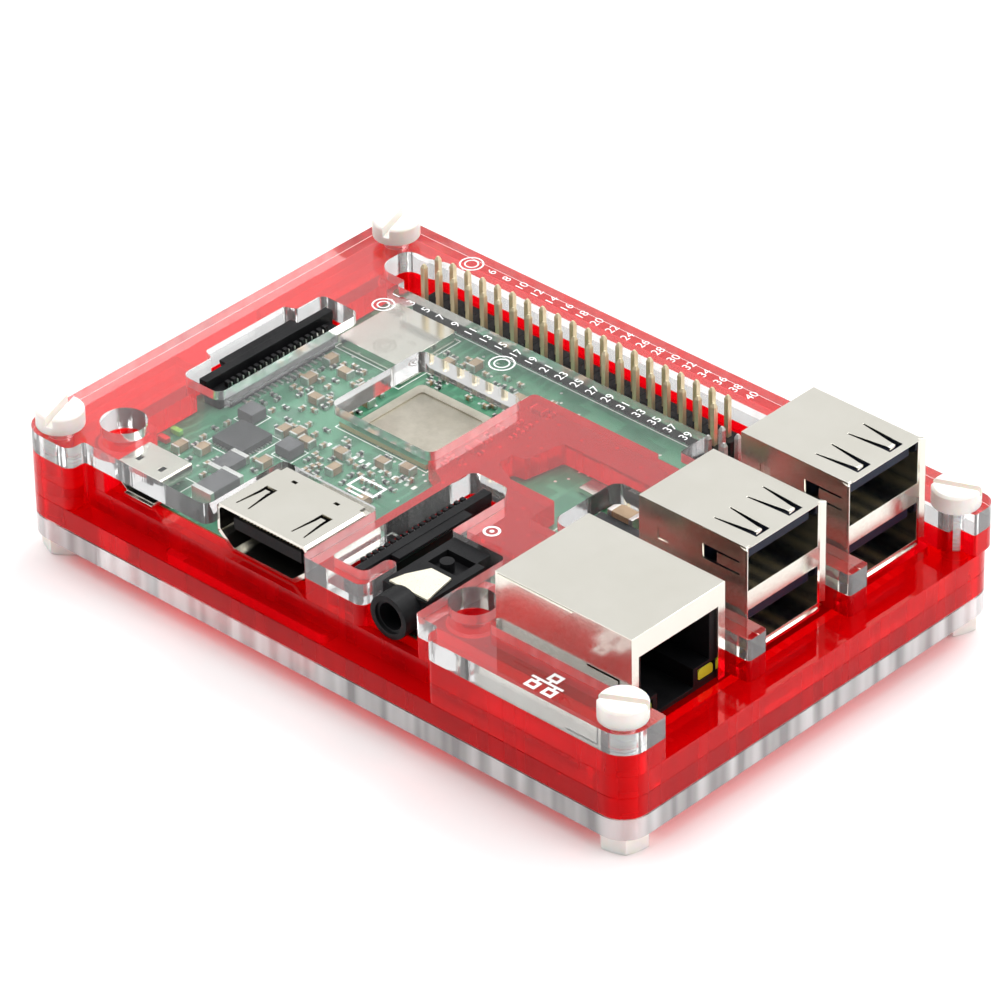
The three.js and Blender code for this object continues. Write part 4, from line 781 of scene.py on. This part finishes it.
def chip_leads(node, per_side, pitch):
    """The short tinned leads that stand out round a flat chip."""
    low, high = span(node)
    middle = (low + high) / 2
    out, seat = 0.12, 0.02
    points = []
    for k in range(per_side):
        step = (k - (per_side - 1) / 2) * pitch
        points += [(middle.x + step, low.y - out, seat, math.pi / 2),
                   (middle.x + step, high.y + out, seat, math.pi / 2),
                   (low.x - out, middle.y + step, seat, 0.0),
                   (high.x + out, middle.y + step, seat, 0.0)]
    return points


leads = chip_leads("power_controller", 9, 0.5) + chip_leads("network_chip", 13, 0.5)
leads += chip_leads("power_switch_chip", 4, 0.6)
field("chip_leads", BLOCKS, leads, TIN, "tinned_metal", Length=0.5, Width=0.26, Height=0.14)

END_BAND = 0.35
ends = Form()
for node, lengthways in (("bulk_capacitor", True), ("port_capacitor", False),
                         ("input_fuse", False), ("regulator_coil", False)):
    low, high = span(node)
    for end in (-1, 1):
        if lengthways:
            edge = high.x if end > 0 else low.x
            band = (edge - END_BAND, edge + END_BAND, low.y - SEAT, high.y + SEAT)
        else:
            edge = high.y if end > 0 else low.y
            band = (low.x - SEAT, high.x + SEAT, edge - END_BAND, edge + END_BAND)
        ends.block(*band, SEAT, high.z + SEAT)
place(ends.mesh(0.08), "capacitor_ends", "tinned_metal", material=TIN)

# Small parts are scattered over the open areas of the board, clear of the larger ones. Areas and
# the cells already taken are (left, right, near, far).
TAKEN = [
    (7.0, 14.6, -2, 4.6), (16.4, 20.4, 1.2, 7.2), (13.4, 17.0, 7.0, 12.0), (9.0, 15.8, 11.4, 18.0),
    (7.8, 11.4, 17.4, 21.0), (16.8, 20.4, 14.8, 18.4), (23.6, 40.6, -2, 10.4), (18.0, 34.4, 24.2, 40.2),
    (5.4, 17.0, 36.8, 48.8), (0, 6.8, 14.0, 42.0), (6.0, 60.0, 49.4, 56.0), (0, 6.8, 7.6, 11.4),
    (53.6, 63.4, 24.4, 34.0), (64.2, 68.6, 23.8, 28.6), (49.8, 54.6, 32.6, 37), (55.2, 60.2, 32.6, 37),
    (65.4, 69.6, 31.6, 37), (58.0, 65.0, 43.0, 50.0), (0, 6.8, 0, 7.5), (35.0, 42.0, 10.0, 24.2),
]
OPEN_AREAS = [(6.6, 38.4, 4.6, 46.6), (53.8, 69.4, 22.8, 36.2)]


MOST = 0.84
GRID = 0.35
CLEARANCE = 0.16
MAX_TRIES = 9000


def scatter(count, length, width, seed):
    """Free places for small parts on a fine grid, most of them in the first open area."""
    chance = random.Random(seed)
    found = []
    tries = 0
    while len(found) < count and tries < MAX_TRIES:
        tries += 1
        left, right, near, far = OPEN_AREAS[0] if chance.random() < MOST else OPEN_AREAS[1]
        x = round(chance.uniform(left, right) / GRID) * GRID
        y = round(chance.uniform(near, far) / GRID) * GRID
        across = chance.random() < 0.5
        half_x, half_y = (width / 2, length / 2) if across else (length / 2, width / 2)
        cell = (x - half_x, x + half_x, y - half_y, y + half_y)
        if any(cell[0] < t[1] + CLEARANCE and cell[1] > t[0] - CLEARANCE
               and cell[2] < t[3] + CLEARANCE and cell[3] > t[2] - CLEARANCE for t in TAKEN):
            continue
        TAKEN.append(cell)
        found.append((x, y, SEAT, math.pi / 2 if across else 0.0))
    return found


def end_caps(points, length):
    """A place for the metal cap at each end of every scattered part."""
    moved = []
    for x, y, z, turn in points:
        for side in (-1, 1):
            reach = side * (length / 2 - 0.12)
            moved.append((x + reach * math.cos(turn), y + reach * math.sin(turn), z, turn))
    return moved


for label, count, length, width, height, seed, material, slot in (
    ("large_ceramics", 26, 2.0, 1.25, 1.0, 3, CERAMIC, "ceramic"),
    ("ceramics", 90, 1.0, 0.5, 0.5, 11, CERAMIC, "ceramic"),
    ("resistors", 70, 1.0, 0.5, 0.35, 23, RESISTOR, "chip_resin"),
):
    spots = scatter(count, length, width, seed)
    field(label, BLOCKS, spots, material, slot, Length=length - 0.1, Width=width - 0.04,
          Height=height)
    field(f"{label}_ends", BLOCKS, end_caps(spots, length), TIN, "tinned_metal", Length=0.26,
          Width=width, Height=height + SEAT)

chance = random.Random(41)
vias = [(chance.uniform(7, 84), chance.uniform(1, 49), 0.0) for _ in range(320)]
field("vias", STUDS, vias, TIN, "tinned_metal", Foot_Radius=0.22, Head_Radius=0.18, Height=0.03,
      Sides=8)

# ---------------------------------------------------------------- white print on the board

print_marks = Form()


def frame_mark(x0, x1, y0, y1, width=0.15):
    print_marks.outlined(x0, x1, y0, y1, width, 0.0, INK_TOP)


RIM = 0.3
for node, margin in (
    ("processor_package", 0.4), ("wireless_shield", 0.4), ("power_controller", 0.8),
    ("network_chip", 0.8), ("video_port_shell", 0.3), ("power_port_shell", 0.3),
    ("regulator_coil", 0.4), ("core_coil", 0.35), ("memory_coil", 0.35),
    ("network_port_shell", 0.3), ("data_port_shell_near", 0.3), ("data_port_shell_far", 0.3),
):
    low, high = span(node)
    frame_mark(max(low.x - margin, RIM), min(high.x + margin, BOARD_LENGTH - RIM),
               max(low.y - margin, RIM), high.y + margin)
frame_mark(6.9, 58.1, 49.7, 55.3)
for x, y in hole_places:
    print_marks.ring(x, y, 3.1, 3.25, 0.0, INK_TOP, 36)
for k in range(14):
    x = 20.5 + 1.1 * k
    print_marks.block(x, x + 0.5, 20.8, 21.6, 0.0, INK_TOP)
place(print_marks.mesh(), "white_print", "circuit_laminate", material=INK)

# ---------------------------------------------------------------- ports

dressed("network_port_shell", NICKEL, "nickel_shell", edge_mm=0.05)
dressed("network_port_insert", BLACK, "black_plastic", edge_mm=0.08)
dressed("network_lamp_near", LIME, "green_lens", edge_mm=0.06)
dressed("network_lamp_far", AMBER, "yellow_lens", edge_mm=0.06)
for place_name in ("near", "far"):
    dressed(f"data_port_shell_{place_name}", NICKEL, "nickel_shell", edge_mm=0.05)
    dressed(f"data_port_insert_{place_name}", NAVY, "navy_plastic", edge_mm=0.08)
dressed("video_port_shell", NICKEL, "nickel_shell", edge_mm=0.05)
dressed("video_port_insert", BLACK, "black_plastic", edge_mm=0.06)
dressed("power_port_shell", NICKEL, "nickel_shell", edge_mm=0.04)
dressed("power_port_insert", BLACK, "black_plastic", edge_mm=0.05)
dressed("audio_socket", BLACK, "black_plastic", edge_mm=0.12)
dressed("audio_contact_plate", IVORY, "ivory_plate", edge_mm=0.06)

# Bare contacts inside the mouths: four under each tongue of the data ports, nineteen along the
# video port's tongue and eight springs in the roof of the network port.
data_contacts = []
for place_name in ("near", "far"):
    low, high = span(f"data_port_insert_{place_name}")
    middle = (low.y + high.y) / 2
    for tongue_low in (low.z + 2.7, high.z - 2.5):
        for k in range(4):
            data_contacts.append((high.x - 4.6, middle + (k - 1.5) * 2.3, tongue_low - 0.09))
field("data_contacts", BLOCKS, data_contacts, GILT, "header", Length=8.0, Width=1.0, Height=0.16)

low, high = span("video_port_insert")
middle = (low + high) / 2
video_contacts = [
    (middle.x + (k - 9) * 0.55, low.y + 2.6, middle.z + 1.02, math.pi / 2) for k in range(19)
]
field("video_contacts", BLOCKS, video_contacts, GILT, "header", Length=4.4, Width=0.26, Height=0.12)

low, high = span("network_port_insert")
middle = (low + high) / 2
network_contacts = [(high.x - 8.2, middle.y + (k - 3.5) * 1.02, high.z - 3.6) for k in range(8)]
field("network_contacts", BLOCKS, network_contacts, GILT, "header", Length=9.0, Width=0.42,
      Height=0.3)

# ---------------------------------------------------------------- flat-cable connectors


def contact_row(node, side):
    """The tinned feet along the open side of a flat-cable connector."""
    low, high = span(node)
    count, pitch, out = 15, 1.0, 0.35
    edge = (high.x if side > 0 else low.x) + side * out
    middle = (low.y + high.y) / 2
    return [(edge, middle + (k - (count - 1) / 2) * pitch, SEAT) for k in range(count)]


def teeth_row(node, side):
    """The comb of short teeth along the ledge of a flat-cable connector."""
    low, high = span(node)
    count, pitch, foot, inset, sink = 18, 1.0, 0.7, 0.35, 0.02
    edge = (low.x + foot + inset) if side < 0 else (high.x - foot - inset)
    middle = (low.y + high.y) / 2
    return [(edge, middle + (k - (count - 1) / 2) * pitch, high.z - sink) for k in range(count)]


feet = contact_row("camera_connector", -1) + contact_row("display_connector", 1)
field("flex_contacts", BLOCKS, feet, TIN, "tinned_metal", Length=1.1, Width=0.34, Height=0.2)
teeth = teeth_row("camera_connector", -1) + teeth_row("display_connector", 1)
field("flex_teeth", BLOCKS, teeth, BLACK, "black_plastic", Length=0.62, Width=0.55, Height=0.75)
field("flex_blades", BLOCKS, [(x, y + 0.5, z) for x, y, z in teeth[:-1]], TIN, "tinned_metal",
      Length=0.5, Width=0.2, Height=0.45)
dressed("camera_connector", BLACK, "black_plastic", edge_mm=0.08)
dressed("display_connector", BLACK, "black_plastic", edge_mm=0.08)
dressed("camera_latch", BLACK, "black_plastic", edge_mm=0.12, body="camera_latch")
dressed("display_latch", BLACK, "black_plastic", edge_mm=0.12, body="display_latch")

# ---------------------------------------------------------------- engraving on the clear cover

cover_top = span("top_cover")[1].z
ENGRAVED = (cover_top - 0.02, cover_top + 0.015)
NUMBER_ROWS = (46.2, 58.2)
COVERED_NUMBERS = (2, 4)


def engraved_numbers():
    """The number of each header pin, cut into the cover on both sides of the slot, but for those
    that a ring covers."""
    form = bmesh.new()
    for number, (x, y) in enumerate(header_pins, 1):
        if number in COVERED_NUMBERS:
            continue
        curve = bpy.data.curves.new(f"number_{number}", "FONT")
        curve.body = str(number)
        curve.size = 1.75 * MM
        curve.align_x = "CENTER"
        curve.align_y = "CENTER"
        curve.extrude = 0.012 * MM
        sign = stand(f"number_{number}", curve)
        mesh = bake_modifiers(sign)
        row_y = NUMBER_ROWS[0] if y < HOLE_ROWS[1] else NUMBER_ROWS[1]
        spin = Matrix.Rotation(math.pi / 2, 4, "Z")
        mesh.transform(Matrix.Translation(at(x, row_y, cover_top)) @ spin)
        form.from_mesh(mesh)
    whole = bpy.data.meshes.new("numbers")
    form.to_mesh(whole)
    form.free()
    return whole


place(engraved_numbers(), "pin_numbers", "clear_acrylic", material=FROST)

marks = Form()


def box_mark(x, y, half_x, half_y, width):
    marks.outlined(x - half_x, x + half_x, y - half_y, y + half_y, width, *ENGRAVED)


# Linked boxes by the network port, a screen by the video port, and rings by the other ports.
for x, y in ((79.3, -1.65), (78.0, -4.15), (80.6, -4.15)):
    box_mark(x, y, 0.85, 0.75, 0.42)
marks.block(76.8, 81.6, -3.08, -2.72, *ENGRAVED)
for x, y0, y1 in ((79.3, -2.7, -2.42), (78.0, -3.38, -3.1), (80.6, -3.38, -3.1)):
    marks.block(x - 0.18, x + 0.18, y0, y1, *ENGRAVED)
box_mark(35.6, 12.6, 2.2, 1.3, 0.34)
marks.block(34.4, 36.8, 10.5, 10.85, *ENGRAVED)
marks.ring(53.2, 15.6, 0.75, 1.1, *ENGRAVED)
marks.disc(53.2, 15.6, 0.3, *ENGRAVED)
for x, y, radius, tail in ((8.6, 43.6, 1.5, 45.2), (28.9, 43.4, 1.7, 45.2), (10.2, 57.9, 1.6, 56.2)):
    marks.ring(x, y, radius - 0.22, radius, *ENGRAVED)
    marks.ring(x, y, radius - 0.85, radius - 0.65, *ENGRAVED)
    ends = sorted((y + math.copysign(radius + 0.02, tail - y), tail))
    marks.block(x - 0.14, x + 0.14, *ends, *ENGRAVED)
place(marks.mesh(), "engraved_marks", "clear_acrylic", material=FROST)

# ---------------------------------------------------------------- floor, light and camera

floor_mesh = bpy.data.meshes.new("floor")
reach = 3.0
floor_mesh.from_pydata([(-reach, -reach, 0), (reach, -reach, 0), (reach, reach, 0), (-reach, reach, 0)],
                       [], [(0, 1, 2, 3)])
floor = stand("floor", floor_mesh)
floor_mesh.materials.append(grained("pale_floor", (0.90, 0.90, 0.90), (0.91, 0.91, 0.91), 0.75, 0.85,
                                    clouds=3.0, bump=0.0))



def studio_sky():
    """A pale sky that brightens upward, with a darker room on one side of it, which shows in the
    upright metal faces that look that way."""
    world = bpy.data.worlds.new("studio")
    world.use_nodes = True
    sky = world.node_tree
    sky.nodes.clear()
    out = sky.nodes.new("ShaderNodeOutputWorld")
    light = sky.nodes.new("ShaderNodeBackground")
    place_in_sky = sky.nodes.new("ShaderNodeTexCoord")
    parts = sky.nodes.new("ShaderNodeSeparateXYZ")
    ramp = sky.nodes.new("ShaderNodeValToRGB")
    ramp.color_ramp.elements[0].position = 0.0
    ramp.color_ramp.elements[0].color = (0.80, 0.80, 0.80, 1)
    ramp.color_ramp.elements[1].position = 0.5
    ramp.color_ramp.elements[1].color = (0.93, 0.93, 0.93, 1)
    room_side = add_node(sky, "ShaderNodeVectorMath", operation="DOT_PRODUCT")
    room_side.inputs[1].default_value = (0.30, -0.93, 0.22)
    room = remap(sky, 0.2, 0.75, 1.0, 0.3)
    link(sky, place_in_sky.outputs["Generated"], parts.inputs["Vector"])
    link(sky, place_in_sky.outputs["Generated"], room_side.inputs[0])
    link(sky, room_side.outputs["Value"], room.inputs["Value"])
    link(sky, parts.outputs["Z"], ramp.inputs["Fac"])
    link(sky, ramp.outputs["Color"], light.inputs["Color"])
    link(sky, room.outputs["Result"], light.inputs["Strength"])
    link(sky, light.outputs["Background"], out.inputs["Surface"])
    return world


bpy.context.scene.world = studio_sky()


def toward(azimuth, elevation):
    """The way from the object to a place round it, with azimuth from the front to the right."""
    return Vector((math.sin(azimuth) * math.cos(elevation), -math.cos(azimuth) * math.cos(elevation),
                   math.sin(elevation)))


def softbox(name, azimuth, elevation, distance, size, power):
    lamp = bpy.data.lights.new(name, "AREA")
    lamp.shape = "RECTANGLE"
    lamp.size, lamp.size_y = size
    lamp.energy = power
    holder = stand(name, lamp)
    way = toward(math.radians(azimuth), math.radians(elevation))
    holder.location = way * distance
    holder.rotation_mode = "QUATERNION"
    holder.rotation_quaternion = (-way).to_track_quat("-Z", "Y")


softbox("back_softbox", 186, 50, 1.0, (0.5, 0.4), 3.2)
softbox("top_softbox", 300, 74, 0.9, (0.8, 0.8), 4.6)
softbox("right_softbox", 120, 40, 0.9, (0.6, 0.5), 2.2)

AZIMUTH, ELEVATION, ROLL = (math.radians(v) for v in (43.583, 33.575, -1.058))
DISTANCE = 811.27
FOCAL_LENGTH = 242.497
SENSOR = 36.0
TARGET = at(42.878, 27.931)
back = toward(AZIMUTH, ELEVATION)
level = Vector((math.cos(AZIMUTH), math.sin(AZIMUTH), 0))
upward = back.cross(level)
right = math.cos(ROLL) * level + math.sin(ROLL) * upward
top = -math.sin(ROLL) * level + math.cos(ROLL) * upward
lens = bpy.data.cameras.new("camera")
lens.sensor_width = SENSOR
lens.lens = FOCAL_LENGTH
lens.clip_start, lens.clip_end = 0.05, 20.0
camera = stand("camera", lens)
camera.matrix_world = Matrix((
    (right.x, top.x, back.x, 0), (right.y, top.y, back.y, 0), (right.z, top.z, back.z, 0),
    (0, 0, 0, 1),
))
camera.location = TARGET + back * DISTANCE * MM
bpy.context.scene.camera = camera
bpy.context.scene.view_settings.view_transform = "Standard"
